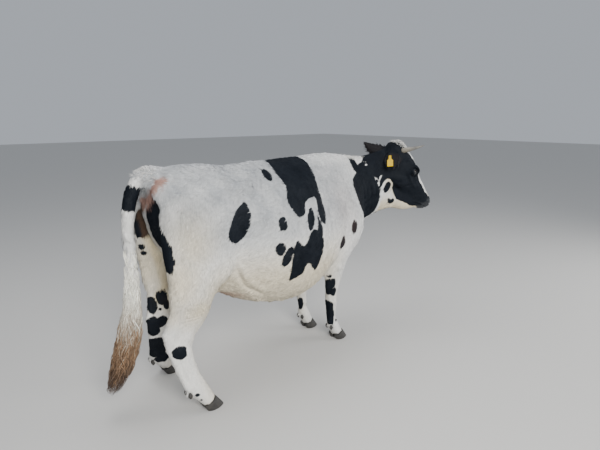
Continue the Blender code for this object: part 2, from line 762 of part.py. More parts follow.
def make_body():
    fine = flesh()
    nape, facing = Vector((1.060, -0.115, 1.20)), Vector((0.90, -0.45, 0.15)).normalized()
    head = thinned(sliced(fine, nape - facing * 0.03, facing), HEAD_TRIANGLES)
    make_head(sliced(head, nape, facing))
    body = thinned(fine, BODY_TRIANGLES)
    make_tail(body)
    rest = make_legs(body)
    front, rest = split(rest, (0.800, 0, 1.10), (1, -0.10, 0.25))
    smooth_shade(add_object("neck", sliced(front, nape, -facing), COAT_BLACK))
    fore, rest = split(rest, (0.250, 0, 0.9), (1, 0, 0))
    barrel, rump = split(rest, (-0.330, 0, 0.9), (1, 0, 0))
    udder, rump = split(rump, (-0.440, 0, 0.545), (-0.504, 0, -0.864))
    smooth_shade(add_object("udder", udder, SKIN_PINK))
    smooth_shade(add_object("trunk_fore", fore, COAT_WHITE))
    smooth_shade(add_object("trunk_barrel", barrel, COAT_WHITE))
    smooth_shade(add_object("trunk_rump", rump, COAT_WHITE))


def settle():
    """Moves the whole cow so that the middle of its box is over the origin, soles on the floor."""
    bpy.context.view_layer.update()
    corners = [piece.matrix_world @ Vector(corner)
               for piece in bpy.data.objects for corner in piece.bound_box]
    low = Vector(min(corner[i] for corner in corners) for i in range(3))
    high = Vector(max(corner[i] for corner in corners) for i in range(3))
    shift = Vector((-(low.x + high.x) / 2, -(low.y + high.y) / 2, -low.z))
    for piece in bpy.data.objects:
        piece.location = shift


def main():
    clear_scene()
    make_body()
    settle()


main()
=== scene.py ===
"""A standing black-pied dairy cow, dressed: one skin over the CAD solids with its folds, a coat of
small hair tufts and longer locks that follow the lie of the hair, and its markings."""
import math

import bmesh
import bpy
import numpy as np
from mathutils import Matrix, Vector


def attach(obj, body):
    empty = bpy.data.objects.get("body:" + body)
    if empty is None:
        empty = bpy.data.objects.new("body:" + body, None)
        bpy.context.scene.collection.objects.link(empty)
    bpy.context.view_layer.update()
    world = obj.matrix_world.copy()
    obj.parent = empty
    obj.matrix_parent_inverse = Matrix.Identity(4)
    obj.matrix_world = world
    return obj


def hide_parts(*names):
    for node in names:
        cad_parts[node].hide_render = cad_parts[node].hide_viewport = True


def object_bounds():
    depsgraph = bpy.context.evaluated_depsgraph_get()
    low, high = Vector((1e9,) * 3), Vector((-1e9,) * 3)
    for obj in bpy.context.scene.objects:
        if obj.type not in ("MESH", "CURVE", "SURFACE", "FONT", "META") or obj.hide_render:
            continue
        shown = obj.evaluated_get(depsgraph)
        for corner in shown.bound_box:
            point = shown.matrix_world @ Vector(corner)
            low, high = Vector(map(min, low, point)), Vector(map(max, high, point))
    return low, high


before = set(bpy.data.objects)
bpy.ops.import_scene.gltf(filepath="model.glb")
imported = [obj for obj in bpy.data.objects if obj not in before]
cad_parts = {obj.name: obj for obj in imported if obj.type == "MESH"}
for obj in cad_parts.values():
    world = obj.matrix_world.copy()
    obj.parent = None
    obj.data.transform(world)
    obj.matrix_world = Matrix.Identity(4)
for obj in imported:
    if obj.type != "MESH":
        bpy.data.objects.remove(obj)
CAD_LOW, CAD_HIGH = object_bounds()

# ---------------------------------------------------------------- named sizes
# Body coordinates: metres, +X the way the cow faces, +Y its left, +Z up. BODY_ORIGIN is where
# their origin lies in the part's frame. Tables below are in body coordinates unless they say so.
BODY_ORIGIN = np.array((-0.1229, 0.0152, 0.0))
HEAD_ORIGIN = np.array((1.17, -0.187, 1.412))
HEAD_HEADING, HEAD_PITCH = -28.0, 58.0
FORE_X, HIND_X = 0.44, -0.76  # the middles of the legs
SPINE_HEIGHT = 0.92  # the level that angles round the barrel are taken from
BARREL_RADIUS = 0.36
GRAIN = 0.007  # edge of the skin's faces
HORN_GRAIN, CLAW_GRAIN = 0.0022, 0.0028
SMOOTH_STEPS = 140
COAT_DEPTH = 0.006  # how far the skin lies inside the solids
EYE_AT = np.array((0.184, 0.098, -0.056))
EYE_RADIUS = 0.021
CORNEA_BULGE = 0.0014
EAR_BASE = np.array((-0.038, 0.077, -0.114))
EAR_TIP = {-1: np.array((-0.28, -0.7, -0.65)), 1: np.array((-0.87, 0.33, 0.34))}
EAR_OPEN = {-1: np.array((0.35, 0.6, -0.6)), 1: np.array((0.3, 0.9, -0.1))}
TEAT_X = (-0.625, -0.545)
TEAT_Y = 0.036
TEAT_TIP = 0.507  # the level of the teats' tips
CAMERA_AT = (-1.872, -2.371, 1.65)
CAMERA_HEADING, CAMERA_DOWN, CAMERA_LENS = 48.23, 13.37, 27.474
FLOOR_HALF = 30
SKY, SKY_STRENGTH = (0.85, 0.91, 1.0, 1), 0.5
LIGHTS = (  # name, place, aim, size, power, colour
    ("key", (-2.2, -5.0, 3.3), (0.0, 0, 0.75), 2.8, 370, (1.0, 0.985, 0.95)),
    ("fill", (4.2, -3.0, 2.0), (0.3, 0, 0.8), 2.6, 95, (1.0, 0.99, 0.97)),
    ("top", (-0.4, 0.8, 4.8), (-0.2, 0, 0.9), 3.0, 80, (1, 1, 1)),
)
SEED = 11
rng = np.random.default_rng(SEED)

FLESH = ("trunk_fore", "trunk_barrel", "trunk_rump", "udder", "neck", "head", "muzzle",
         "tail_dock", "tail_mid", "foreleg_right_upper", "foreleg_right_lower",
         "foreleg_left_upper", "foreleg_left_lower", "hindleg_right_thigh", "hindleg_right_hock",
         "hindleg_right_cannon", "hindleg_left_thigh", "hindleg_left_hock",
         "hindleg_left_cannon", "ear_right", "ear_left")
EYES = ("eye_right", "eye_left")
SIDES = {"right": -1, "left": 1}


# ---------------------------------------------------------------- small tools
def turned(heading, pitch):
    """Axes turned about Z and then tipped down, in degrees."""
    h, p = math.radians(heading), math.radians(pitch)
    rz = np.array(((math.cos(h), -math.sin(h), 0), (math.sin(h), math.cos(h), 0), (0, 0, 1)))
    ry = np.array(((math.cos(p), 0, math.sin(p)), (0, 1, 0), (-math.sin(p), 0, math.cos(p))))
    return rz @ ry


HEAD_AXES = turned(HEAD_HEADING, HEAD_PITCH)
LEVEL_HEAD = turned(HEAD_HEADING, 0.0)


def to_head(points):
    return (points - HEAD_ORIGIN) @ HEAD_AXES


def from_head(points):
    return np.asarray(points, float) @ HEAD_AXES.T + HEAD_ORIGIN


def step(low, high, value):
    """0 at low, 1 at high, and smooth between them."""
    t = np.clip((value - low) / (high - low), 0, 1)
    return t * t * (3 - 2 * t)


def bell(distance, width):
    return np.exp(-(distance / width) ** 2)


def unit(vectors):
    return vectors / np.maximum(np.linalg.norm(vectors, axis=-1, keepdims=True), 1e-9)


def norms(vectors):
    return np.linalg.norm(vectors, axis=-1)


def square_to(out, way):
    """The part of way that is square to out, as a unit vector."""
    return unit(way - out * (way @ out))


def around(over, beside):
    """The angle as a share of a full turn."""
    return np.arctan2(over, beside) / (2 * math.pi) + 0.5


def lookup(values, table):
    """Reads a table of pairs between its rows."""
    keys, numbers = np.array(table, float).T
    return np.interp(values, keys, numbers)


def cloud(p, centre, half):
    """A soft patch round a place, 1 in its middle."""
    return bell(norms((p - centre) / half), 1.0)


def waves(points, size, seed):
    """Smooth noise in about -1..1, with features of the given size."""
    maker = np.random.default_rng(seed)
    total = np.zeros(len(points))
    for _ in range(9):
        way = unit(maker.normal(size=3)) * (2 * math.pi / size) * maker.uniform(0.5, 1.3)
        total += np.sin(points @ way + maker.uniform(0, 2 * math.pi))
    return total / 3.6


def curved(points, closed=True, steps=4):
    """A Catmull-Rom curve through the points."""
    pts = np.array(points, float)
    if closed:
        pad = np.vstack((pts[-1], pts, pts[0], pts[1]))
    else:
        pad = np.vstack((2 * pts[0] - pts[1], pts, 2 * pts[-1] - pts[-2]))
    out = []
    for i in range(1, len(pad) - 2):
        a, b, c, d = pad[i - 1:i + 3]
        for k in range(steps):
            t = k / steps
            out.append(0.5 * (2 * b + (c - a) * t + (2 * a - 5 * b + 4 * c - d) * t * t
                              + (3 * b - a - 3 * c + d) * t ** 3))
    if not closed:
        out.append(pts[-1])
    return np.array(out)


def reach(px, py, outline):
    """How deep each point lies inside a closed outline; below nought outside it."""
    best = np.full(len(px), 1e9)
    within = np.zeros(len(px), bool)
    for (ax, ay), (bx, by) in zip(outline, np.roll(outline, -1, axis=0)):
        ex, ey = bx - ax, by - ay
        t = np.clip(((px - ax) * ex + (py - ay) * ey) / (ex * ex + ey * ey + 1e-12), 0, 1)
        best = np.minimum(best, (px - ax - ex * t) ** 2 + (py - ay - ey * t) ** 2)
        if ay != by:
            within ^= ((ay > py) != (by > py)) & (px < (bx - ax) * (py - ay) / (by - ay) + ax)
    best = np.sqrt(best)
    return np.where(within, best, -best)


def off_line(points, path):
    """Distance to a polyline, and how far along it the nearest place is, 0 to 1."""
    best = np.full(len(points), 1e9)
    place = np.zeros(len(points))
    path = np.asarray(path, float)
    lengths = norms(np.diff(path, axis=0))
    total, done = lengths.sum(), 0.0
    for a, b, size in zip(path[:-1], path[1:], lengths):
        e = b - a
        t = np.clip(((points - a) @ e) / (size * size), 0, 1)
        d = norms(points - a - t[:, None] * e)
        near = d < best
        best = np.where(near, d, best)
        place = np.where(near, (done + t * size) / total, place)
        done += size
    return best, place


def mirrored(point, side):
    return np.array((point[0], point[1] * side, point[2]), float)


def ear(side):
    """Where an ear starts and which way it points, in body coordinates."""
    return from_head(mirrored(EAR_BASE, side)), unit(LEVEL_HEAD @ EAR_TIP[side])


# ---------------------------------------------------------------- meshes from arrays
def moved_to(me, verts):
    me.vertices.foreach_set("co", np.ascontiguousarray(verts, np.float32).ravel())


def finished(me, fields):
    """Smooth shading, and the fields that the materials read."""
    me.polygons.foreach_set("use_smooth", np.ones(len(me.polygons), bool))
    for key, value in fields.items():
        me.attributes.new(key, "FLOAT", "POINT").data.foreach_set(
            "value", np.ascontiguousarray(value, np.float32))
    return me


def mesh_of(name, verts, faces, fields=None, uv=None, normals=None):
    """A mesh from arrays. faces is (n, 3) or (n, 4)."""
    me = bpy.data.meshes.new(name)
    me.vertices.add(len(verts))
    moved_to(me, verts)
    corners = faces.shape[1]
    me.loops.add(faces.size)
    me.loops.foreach_set("vertex_index", np.ascontiguousarray(faces, np.int32).ravel())
    me.polygons.add(len(faces))
    me.polygons.foreach_set("loop_start", np.arange(0, faces.size, corners, dtype=np.int32))
    me.update(calc_edges=True)
    finished(me, fields or {})
    if uv is not None:
        layer = me.uv_layers.new(name="OFBake")
        layer.data.foreach_set("uv", np.ascontiguousarray(uv[faces.ravel()], np.float32).ravel())
    if normals is not None:
        me.normals_split_custom_set_from_vertices(normals.tolist())
    return me


def placed(name, me, material, nodes=()):
    """Puts a mesh in the scene as a piece that rides on the body."""
    piece = bpy.data.objects.new(name, me)
    bpy.context.scene.collection.objects.link(piece)
    me.materials.clear()
    me.materials.append(material)
    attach(piece, "root")
    if nodes:
        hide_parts(*nodes)


def arrays(me):
    verts = np.empty(len(me.vertices) * 3, np.float32)
    me.vertices.foreach_get("co", verts)
    me.calc_loop_triangles()
    tris = np.empty(len(me.loop_triangles) * 3, np.int32)
    me.loop_triangles.foreach_get("vertices", tris)
    return verts.reshape(-1, 3).astype(float), tris.reshape(-1, 3)


def node_arrays(name):
    return arrays(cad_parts[name].data)


def remeshed(nodes, grain):
    """The nodes' shape as one closed, even mesh."""
    verts, tris, base = [], [], 0
    for name in nodes:
        v, t = node_arrays(name)
        verts.append(v)
        tris.append(t + base)
        base += len(v)
    raw = bpy.data.objects.new("raw", mesh_of("raw", np.vstack(verts), np.vstack(tris)))
    bpy.context.scene.collection.objects.link(raw)
    change = raw.modifiers.new("grain", "REMESH")
    change.mode, change.voxel_size, change.use_smooth_shade = "VOXEL", grain, True
    graph = bpy.context.evaluated_depsgraph_get()
    me = bpy.data.meshes.new_from_object(raw.evaluated_get(graph))
    bpy.data.objects.remove(raw, do_unlink=True)
    return me


def point_normals(verts, tris):
    face = np.cross(verts[tris[:, 1]] - verts[tris[:, 0]], verts[tris[:, 2]] - verts[tris[:, 0]])
    out = np.empty_like(verts)
    for k in range(3):
        out[:, k] = np.bincount(tris.ravel(), np.repeat(face[:, k], 3), len(verts))
    return unit(out)


def eased(verts, edges, steps, weight):
    """Smooths a mesh without shrinking it. weight is each point's share."""
    both = np.vstack((edges, edges[:, ::-1]))
    both = both[np.argsort(both[:, 0], kind="stable")]
    counts = np.bincount(both[:, 0], minlength=len(verts))
    starts = np.concatenate(((0,), np.cumsum(counts)[:-1]))
    near = both[:, 1]
    for _ in range(steps):
        for share in (0.62, -0.63):
            mean = np.add.reduceat(verts[near], starts, axis=0) / counts[:, None]
            verts = verts + (mean - verts) * (share * weight)[:, None]
    return verts


def edges_of(me):
    edges = np.empty(len(me.edges) * 2, np.int32)
    me.edges.foreach_get("vertices", edges)
    return edges.reshape(-1, 2)


# ---------------------------------------------------------------- regions
def regions(p):
    """Soft masks over body coordinates."""
    q = to_head(p)
    x, y, z = p.T
    ears = np.zeros(len(p))
    for side in (-1, 1):
        base, way = ear(side)
        along = (p - base) @ way
        off = norms(p - base - along[:, None] * way)
        ears = np.maximum(ears, step(0.012, 0.045, along) * (off < 0.085) * (along < 0.26))
    head = (step(-0.11, -0.04, q[:, 0]) * step(-0.33, -0.22, q[:, 2])
            * step(0.2, 0.15, np.abs(q[:, 1])) * step(0.86, 0.94, z) * (x > 0.95))
    fore = np.abs(x - FORE_X) < 0.17
    hind = (np.abs(x - HIND_X) < 0.2) & (x < -0.56) & (np.abs(y) > 0.045)
    legs = step(0.66, 0.52, z) * (fore | hind)
    legs = np.where(fore, legs * step(0.6, 0.5, z), legs)
    tail = step(-0.885, -0.93, x) * (np.abs(y - 0.01) < 0.07) * (z < 1.34)
    tail = tail * ((x < -0.925) | (z > 1.2))
    teats = step(0.55, 0.535, z) * (np.abs(x + 0.515) < 0.105) * (np.abs(y) < 0.13)
    return {"head": head * (1 - ears), "ears": ears, "legs": legs, "tail": tail,
            "feet": step(0.16, 0.1, z), "teats": teats}


# ---------------------------------------------------------------- the skin's shape
def parted(me, inside):
    """Halves the edges whose two ends are both inside."""
    shape = bmesh.new()
    shape.from_mesh(me)
    chosen = [e for e in shape.edges if inside[e.verts[0].index] and inside[e.verts[1].index]]
    bmesh.ops.subdivide_edges(shape, edges=chosen, cuts=1, use_grid_fill=True)
    shape.to_mesh(me)
    shape.free()


def skin_mesh():
    """The flesh nodes joined and smoothed, with finer faces where the head, teats and gaskin need them."""
    me = remeshed(FLESH + EYES, GRAIN)
    verts, _ = arrays(me)
    zone = regions(verts - BODY_ORIGIN)
    weight = 1 - 0.55 * zone["head"] - 0.9 * zone["ears"] - 0.5 * zone["legs"] * (1 - zone["head"])
    weight = np.clip(weight * (1 - 0.7 * zone["feet"]) * (1 - 0.9 * zone["teats"]), 0.04, 1)
    verts = eased(verts, edges_of(me), SMOOTH_STEPS, weight)
    moved_to(me, verts)
    p = verts - BODY_ORIGIN
    finer = (zone["head"] + zone["ears"] + zone["teats"] > 0.3)
    finer |= np.all(np.abs(p - (-0.735, -0.225, 0.6)) < (0.1, 0.08, 0.1), axis=1)
    parted(me, finer)
    verts, _ = arrays(me)
    q = to_head(verts - BODY_ORIGIN)
    finest = (q[:, 0] > 0.385) & (q[:, 0] < 0.6) & (np.abs(q[:, 1]) < 0.1) & (np.abs(q[:, 2]) < 0.2)
    for side in (-1, 1):
        finest |= norms(q - mirrored(EYE_AT, side)) < 0.047
    parted(me, finest)
    verts, _ = arrays(me)
    zone = regions(verts - BODY_ORIGIN)
    moved_to(me, eased(verts, edges_of(me), 10, np.full(len(verts), 0.8) - 0.2 * zone["ears"]))
    moved_to(me, sculpted(*arrays(me)))
    return me


# ---------------------------------------------------------------- folds and features
# Strokes over the skin: path in body coordinates on the right side, half width, and height, which
# is below nought for a groove. Each is repeated on the left.
TRUNK_STROKES = (
    (((-0.47, -0.225, 1.29),), 0.05, 0.013),  # hook bone
    (((-0.5, -0.18, 1.335), (-0.47, -0.225, 1.29), (-0.455, -0.25, 1.23)), 0.028, 0.005),
    (((-0.875, -0.105, 1.275),), 0.034, 0.01),  # pin bone
    (((-0.7, -0.26, 1.15),), 0.075, 0.007),  # hip joint
    (((-0.62, -0.22, 1.29), (-0.76, -0.18, 1.3)), 0.06, -0.008),
    (((-0.33, -0.24, 1.245), (-0.26, -0.25, 1.22)), 0.075, -0.014),  # hollow of the flank
    (((-0.215, -0.22, 1.28), (-0.165, -0.3, 1.1), (-0.165, -0.335, 0.9)), 0.03, 0.005),
    (((-0.4, -0.15, 1.335), (-0.08, -0.16, 1.33)), 0.03, 0.004),
    (((-0.46, -0.235, 0.8), (-0.415, -0.215, 0.7), (-0.36, -0.2, 0.63),
      (-0.297, -0.206, 0.592), (-0.22, -0.2, 0.54)), 0.014, -0.009),  # flank fold
    (((-0.445, -0.245, 0.815), (-0.385, -0.235, 0.715), (-0.32, -0.23, 0.65),
      (-0.23, -0.23, 0.59)), 0.022, 0.006),
    (((-0.52, -0.26, 0.96), (-0.48, -0.25, 0.86), (-0.455, -0.23, 0.78)), 0.035, -0.009),
    (((-0.56, -0.285, 0.84), (-0.54, -0.26, 0.74)), 0.05, 0.007),  # stifle
    (((-0.8, -0.225, 1.16), (-0.825, -0.24, 0.96), (-0.8, -0.235, 0.8)), 0.028, -0.006),
    (((-0.81, -0.07, 1.345),), 0.032, -0.01),
    (((0.44, -0.13, 1.33), (0.5, -0.22, 1.15), (0.55, -0.26, 0.98)), 0.026, 0.006),
    (((0.33, -0.2, 1.3), (0.275, -0.29, 1.05), (0.255, -0.31, 0.82)), 0.045, -0.009),
    (((0.62, -0.18, 1.26), (0.65, -0.205, 1.06)), 0.03, -0.007),
    (((0.66, -0.205, 0.93),), 0.05, 0.009),  # shoulder point
    (((0.4, -0.29, 0.9), (0.35, -0.285, 0.8)), 0.06, 0.007),
    (((0.325, -0.245, 0.72),), 0.032, 0.008),  # elbow
    (((0.292, -0.29, 0.8), (0.282, -0.26, 0.69), (0.3, -0.24, 0.61)), 0.016, -0.013),
    (((0.56, -0.265, 0.86), (0.52, -0.26, 0.74)), 0.02, -0.006),
    (((0.7, -0.18, 0.95), (0.86, -0.15, 1.02), (0.98, -0.18, 1.08)), 0.024, -0.007),
    (((0.64, -0.1, 0.7), (0.72, -0.09, 0.74), (0.79, -0.06, 0.82)), 0.016, -0.005),
    (((0.74, -0.12, 0.79), (0.83, -0.08, 0.85)), 0.016, 0.005),
    (((-0.34, -0.15, 0.52), (-0.26, -0.175, 0.49), (-0.18, -0.15, 0.462),
      (-0.09, -0.17, 0.446), (0.0, -0.15, 0.436), (0.11, -0.165, 0.436)), 0.009, 0.006),
)
SPINE_STROKES = (  # not repeated
    (((-0.42, 0, 1.376), (-0.1, 0, 1.374), (0.3, 0, 1.392)), 0.022, 0.005),
    (((-0.72, 0, 1.38), (-0.6, 0, 1.386)), 0.045, -0.004),
    (((0.04, 0, 0.412), (-0.09, 0, 0.424)), 0.018, 0.012),  # navel flap
)
LEG_STROKES = (
    (((-0.866, -0.208, 0.48), (-0.85, -0.225, 0.55), (-0.828, -0.245, 0.64)), 0.015, -0.01),
    (((-0.866, -0.118, 0.48), (-0.85, -0.12, 0.55), (-0.828, -0.125, 0.64)), 0.015, -0.009),
    (((-0.725, -0.255, 0.69), (-0.745, -0.235, 0.59)), 0.04, 0.006),
    (((-0.906, -0.162, 0.478),), 0.024, 0.008),
    (((-0.775, -0.21, 0.44),), 0.03, 0.005),
    (((-0.845, -0.212, 0.36), (-0.828, -0.24, 0.26), (-0.805, -0.258, 0.18)), 0.01, -0.004),
    (((0.4, -0.25, 0.65), (0.405, -0.235, 0.58)), 0.04, 0.005),
    (((0.455, -0.17, 0.425),), 0.028, 0.006),
    (((0.35, -0.172, 0.445),), 0.02, 0.008),
    (((0.38, -0.198, 0.36), (0.392, -0.185, 0.23)), 0.01, -0.004),
    (((0.4, -0.15, 0.15),), 0.022, 0.006),
    (((-0.815, -0.24, 0.165),), 0.024, 0.006),
)
# The same in head coordinates, on the left side.
HEAD_STROKES = (
    (((0.145, 0.085, -0.018), (0.18, 0.097, -0.02), (0.214, 0.087, -0.026)), 0.013, 0.007),
    (((0.222, 0.086, -0.062),), 0.014, -0.004),
    (((0.095, 0.094, -0.07),), 0.028, -0.009),
    (((0.11, 0.103, -0.095), (0.2, 0.102, -0.102), (0.285, 0.079, -0.098)), 0.013, 0.005),
    (((0.285, 0.077, -0.096), (0.335, 0.066, -0.088)), 0.014, 0.004),
    (((0.15, 0.1, -0.15), (0.19, 0.092, -0.185)), 0.045, 0.008),
    (((0.275, 0.076, -0.12), (0.262, 0.076, -0.16), (0.235, 0.07, -0.205)), 0.013, -0.006),
    (((0.22, 0.046, 0.004), (0.4, 0.04, 0.0)), 0.011, 0.003),
    (((0.255, 0.07, -0.045), (0.39, 0.058, -0.045)), 0.018, -0.004),
    (((0.12, 0.085, -0.215), (0.25, 0.062, -0.208), (0.35, 0.048, -0.178)), 0.016, 0.005),
    (((0.13, 0.07, -0.006), (0.16, 0.078, -0.004), (0.19, 0.078, -0.006)), 0.0035, -0.0018),
    (((0.125, 0.062, 0.002), (0.16, 0.07, 0.004), (0.195, 0.068, 0.002)), 0.0035, -0.0015),
    (((0.412, 0.061, -0.152), (0.398, 0.066, -0.128)), 0.006, -0.004),
    (((0.4, 0.062, -0.158), (0.385, 0.066, -0.138)), 0.005, -0.002),
    (((0.16, 0.0, 0.022),), 0.04, -0.004),
    (((0.478, 0.0, -0.014), (0.507, 0.0, -0.04), (0.522, 0.0, -0.08)), 0.004, -0.003),
    (((0.44, 0.03, -0.004), (0.466, 0.044, -0.016), (0.48, 0.058, -0.05)), 0.008, 0.0025),
    (((0.425, 0.03, -0.002), (0.448, 0.05, -0.016), (0.455, 0.063, -0.05)), 0.006, -0.0025),
)
NOSTRIL = np.array((0.5, 0.04, -0.045))
EYE_OUT = unit(np.array((0.2, 0.95, 0.22)))
LID_HALF = (0.0182, 0.012)  # the opening between the lids


def left_leg(point):
    """The left leg's place for a point of the right one."""
    x, y, z = point
    fade = step(0.27, 0.0, abs(z - 0.48)) if x < 0 else 0.0
    ahead = -0.04 * step(0.66, 0.05, z) if x > 0 else 0.0
    return (x + 0.022 * fade + ahead, -y - 0.052 * fade, z)


def stroke(points, moved, path, width, height):
    """Adds one stroke's height to moved, where the points are near its path."""
    path = np.array([points[np.argmin(np.sum((points - spot) ** 2, axis=1))]
                     for spot in np.array(path)])
    low, high = path.min(0) - 3 * width, path.max(0) + 3 * width
    near = np.flatnonzero(np.all((points > low) & (points < high), axis=1))
    if len(path) == 1:
        away, ends = norms(points[near] - path[0]), 1.0
    else:
        line = curved(path, False, 5) if len(path) > 2 else path
        away, place = off_line(points[near], line)
        ends = 0.25 + 0.75 * np.sin(np.pi * np.clip(place, 0.02, 0.98)) ** 0.6
    moved[near] += height * bell(away, width) * ends


def ribs():
    for k in range(8):
        x = -0.14 + 0.058 * k
        for side in (-1, 1):
            yield (((x - 0.01, side * 0.23, 1.27), (x + 0.02, side * 0.33, 1.05),
                    (x + 0.035, side * 0.36, 0.86), (x + 0.06, side * 0.34, 0.68)), 0.017, 0.0022)


def gaskin_wrinkles():
    for k in range(7):
        z = 0.535 + 0.019 * k
        line = ((-0.8, -0.225, z + 0.012), (-0.74, -0.245, z + 0.004 * math.sin(k)),
                (-0.675, -0.24, z + 0.006))
        height = -0.0022 - 0.0006 * math.sin(2.1 * k)
        yield line, 0.005, height
        yield [left_leg(spot) for spot in line], 0.005, height


def neck_wrinkles():
    for k in range(6):
        x = 0.7 + 0.045 * k
        for side in (-1, 1):
            yield (((x - 0.02, side * 0.15, 1.22 - 0.01 * k), (x + 0.012, side * 0.17, 1.1),
                    (x + 0.03, side * 0.13, 0.99)), 0.009, -0.0025)


def body_strokes():
    """Every stroke of the body, on both sides."""
    for path, width, height in TRUNK_STROKES:
        yield path, width, height
        yield [mirrored(spot, -1) for spot in path], width, height
    yield from SPINE_STROKES
    for path, width, height in LEG_STROKES:
        yield path, width, height
        yield [left_leg(spot) for spot in path], width, height
    yield from ribs()
    yield from gaskin_wrinkles()
    yield from neck_wrinkles()


def head_strokes():
    """Every stroke of the head, in head coordinates: those off the middle on both sides."""
    for path, width, height in HEAD_STROKES:
        for side in (-1, 1) if any(spot[1] for spot in path) else (1,):
            yield [mirrored(spot, side) for spot in path], width, height
    for side in (-1, 1):
        line = [(a, -b * side, c) for a, b, c in MOUTH]
        yield line, 0.004, -0.0065
        yield [(a - 0.003, b, c + 0.01) for a, b, c in line], 0.006, 0.0025
        yield [(a + 0.003, b, c - 0.01) for a, b, c in line], 0.006, 0.0025


def round_teats(p):
    """Draws the skin in to round teats with domed tips."""
    for x in TEAT_X:
        for side in (-1, 1):
            away = p[:, :2] - (x, side * TEAT_Y)
            off = norms(away)
            rise = np.clip((p[:, 2] - TEAT_TIP) / 0.03, 0.0, 1)
            radius = 0.0005 + 0.0125 * np.sqrt(1 - (1 - rise) ** 2)
            share = (off < 0.027) * step(0.562, 0.54, p[:, 2])
            p[:, :2] += away * ((radius / np.maximum(off, 1e-5) - 1) * share)[:, None]


def sculpted(verts, tris):
    """Bones, muscles, folds and the head's features, on the skin."""
    p = verts - BODY_ORIGIN
    moved = 0 * p[:, 0]
    for path, width, height in body_strokes():
        stroke(p, moved, path, width, height)
    q = to_head(p)
    for path, width, height in head_strokes():
        stroke(q, moved, path, width, height)
    soft = 0.001 * waves(p, 0.11, 51) + 0.0005 * waves(p, 0.04, 52)
    p = verts + point_normals(verts, tris) * (moved + soft)[:, None] - BODY_ORIGIN
    round_teats(p)
    q = to_head(p)
    for side in (-1, 1):
        q = nostril(q, side)
        q = eyelids(q, side)
    return from_head(q) + BODY_ORIGIN


def nostril(q, side):
    """A comma-shaped opening with a raised rim."""
    centre = mirrored(NOSTRIL, side)
    out = unit(mirrored((0.72, 0.66, 0.1), side))
    along = unit(np.cross(out, mirrored((0.3, -0.1, 0.95), side)))
    along = unit(along + 0.55 * np.cross(out, along))
    over = np.cross(out, along)
    d = q - centre
    near = norms(d) < 0.045
    a, b = d @ along, d @ over
    b = b + 9.0 * a * a
    rho = np.hypot(a / 0.0165, b / 0.008)
    push = -0.017 * step(1.05, 0.35, rho) + 0.003 * bell(rho - 1.45, 0.35)
    way = np.where((rho < 1.1)[:, None], unit(out + np.array((0.35, 0, 0.25))), out)
    return q + way * (push * near)[:, None]


def eye_frame(q, side):
    """Each point's place round the eye: along the lids, up, outward, how far out of the opening."""
    centre, out = mirrored(EYE_AT, side), mirrored(EYE_OUT, side)
    along = square_to(out, np.array((1.0, 0.0, -0.28)))
    up = np.cross(along, out)
    up = up if up[2] > 0 else -up
    d = q - centre
    a, b, o = d @ along, d @ up, d @ out
    high = np.where(b > 0.0015, LID_HALF[1], LID_HALF[1] * 0.85)
    return a, b, o, np.hypot(a / LID_HALF[0], (b - 0.0015) / high), (centre, along, up, out)


def eyelids(q, side):
    """Opens the skin over the eyeball and lays the lids on it."""
    a, b, o, rho, (centre, _, _, out) = eye_frame(q, side)
    near = (norms(q - centre) < 0.06) & (o > -0.012)
    r = np.hypot(a, b)
    ball = np.sqrt(np.maximum(EYE_RADIUS ** 2 - r * r, 0.0))
    inside = np.maximum(ball - 0.005, 0.0035)
    cap = EYE_RADIUS + 0.0036
    lid = np.sqrt(np.maximum(cap ** 2 - np.minimum(r, 0.0195) ** 2, 0.0))
    lid = lid - 1.3 * np.maximum(r - 0.0195, 0)
    lid = lid + 0.0014 * bell(rho - 1.12, 0.1) - 0.0018 * bell(rho - 1.55, 0.11) * (b > 0)
    target = np.where(rho < 1.0, inside + (lid - inside) * step(0.88, 1.0, rho), lid)
    hold = step(0.042, 0.0275, r)
    moved = o + (target - o) * hold
    return q + out * ((moved - o) * near)[:, None]


# ---------------------------------------------------------------- markings
def oval(across, up, tall, wide, lean=0.0, a_metre=1.0):
    """An oval's outline: its middle, half sizes, and how far it leans from upright in degrees."""
    turn = np.arange(12) * math.pi / 6
    a, b = wide * np.cos(turn), tall * np.sin(turn)
    c, s = math.cos(math.radians(lean)), math.sin(math.radians(lean))
    return np.column_stack((across + a * c + b * s, up + (b * c - a * s) * a_metre))


def flank_oval(x, degrees, tall, wide, lean=0.0):
    return oval(x, degrees, tall, wide, lean, math.degrees(1.0 / BARREL_RADIUS))


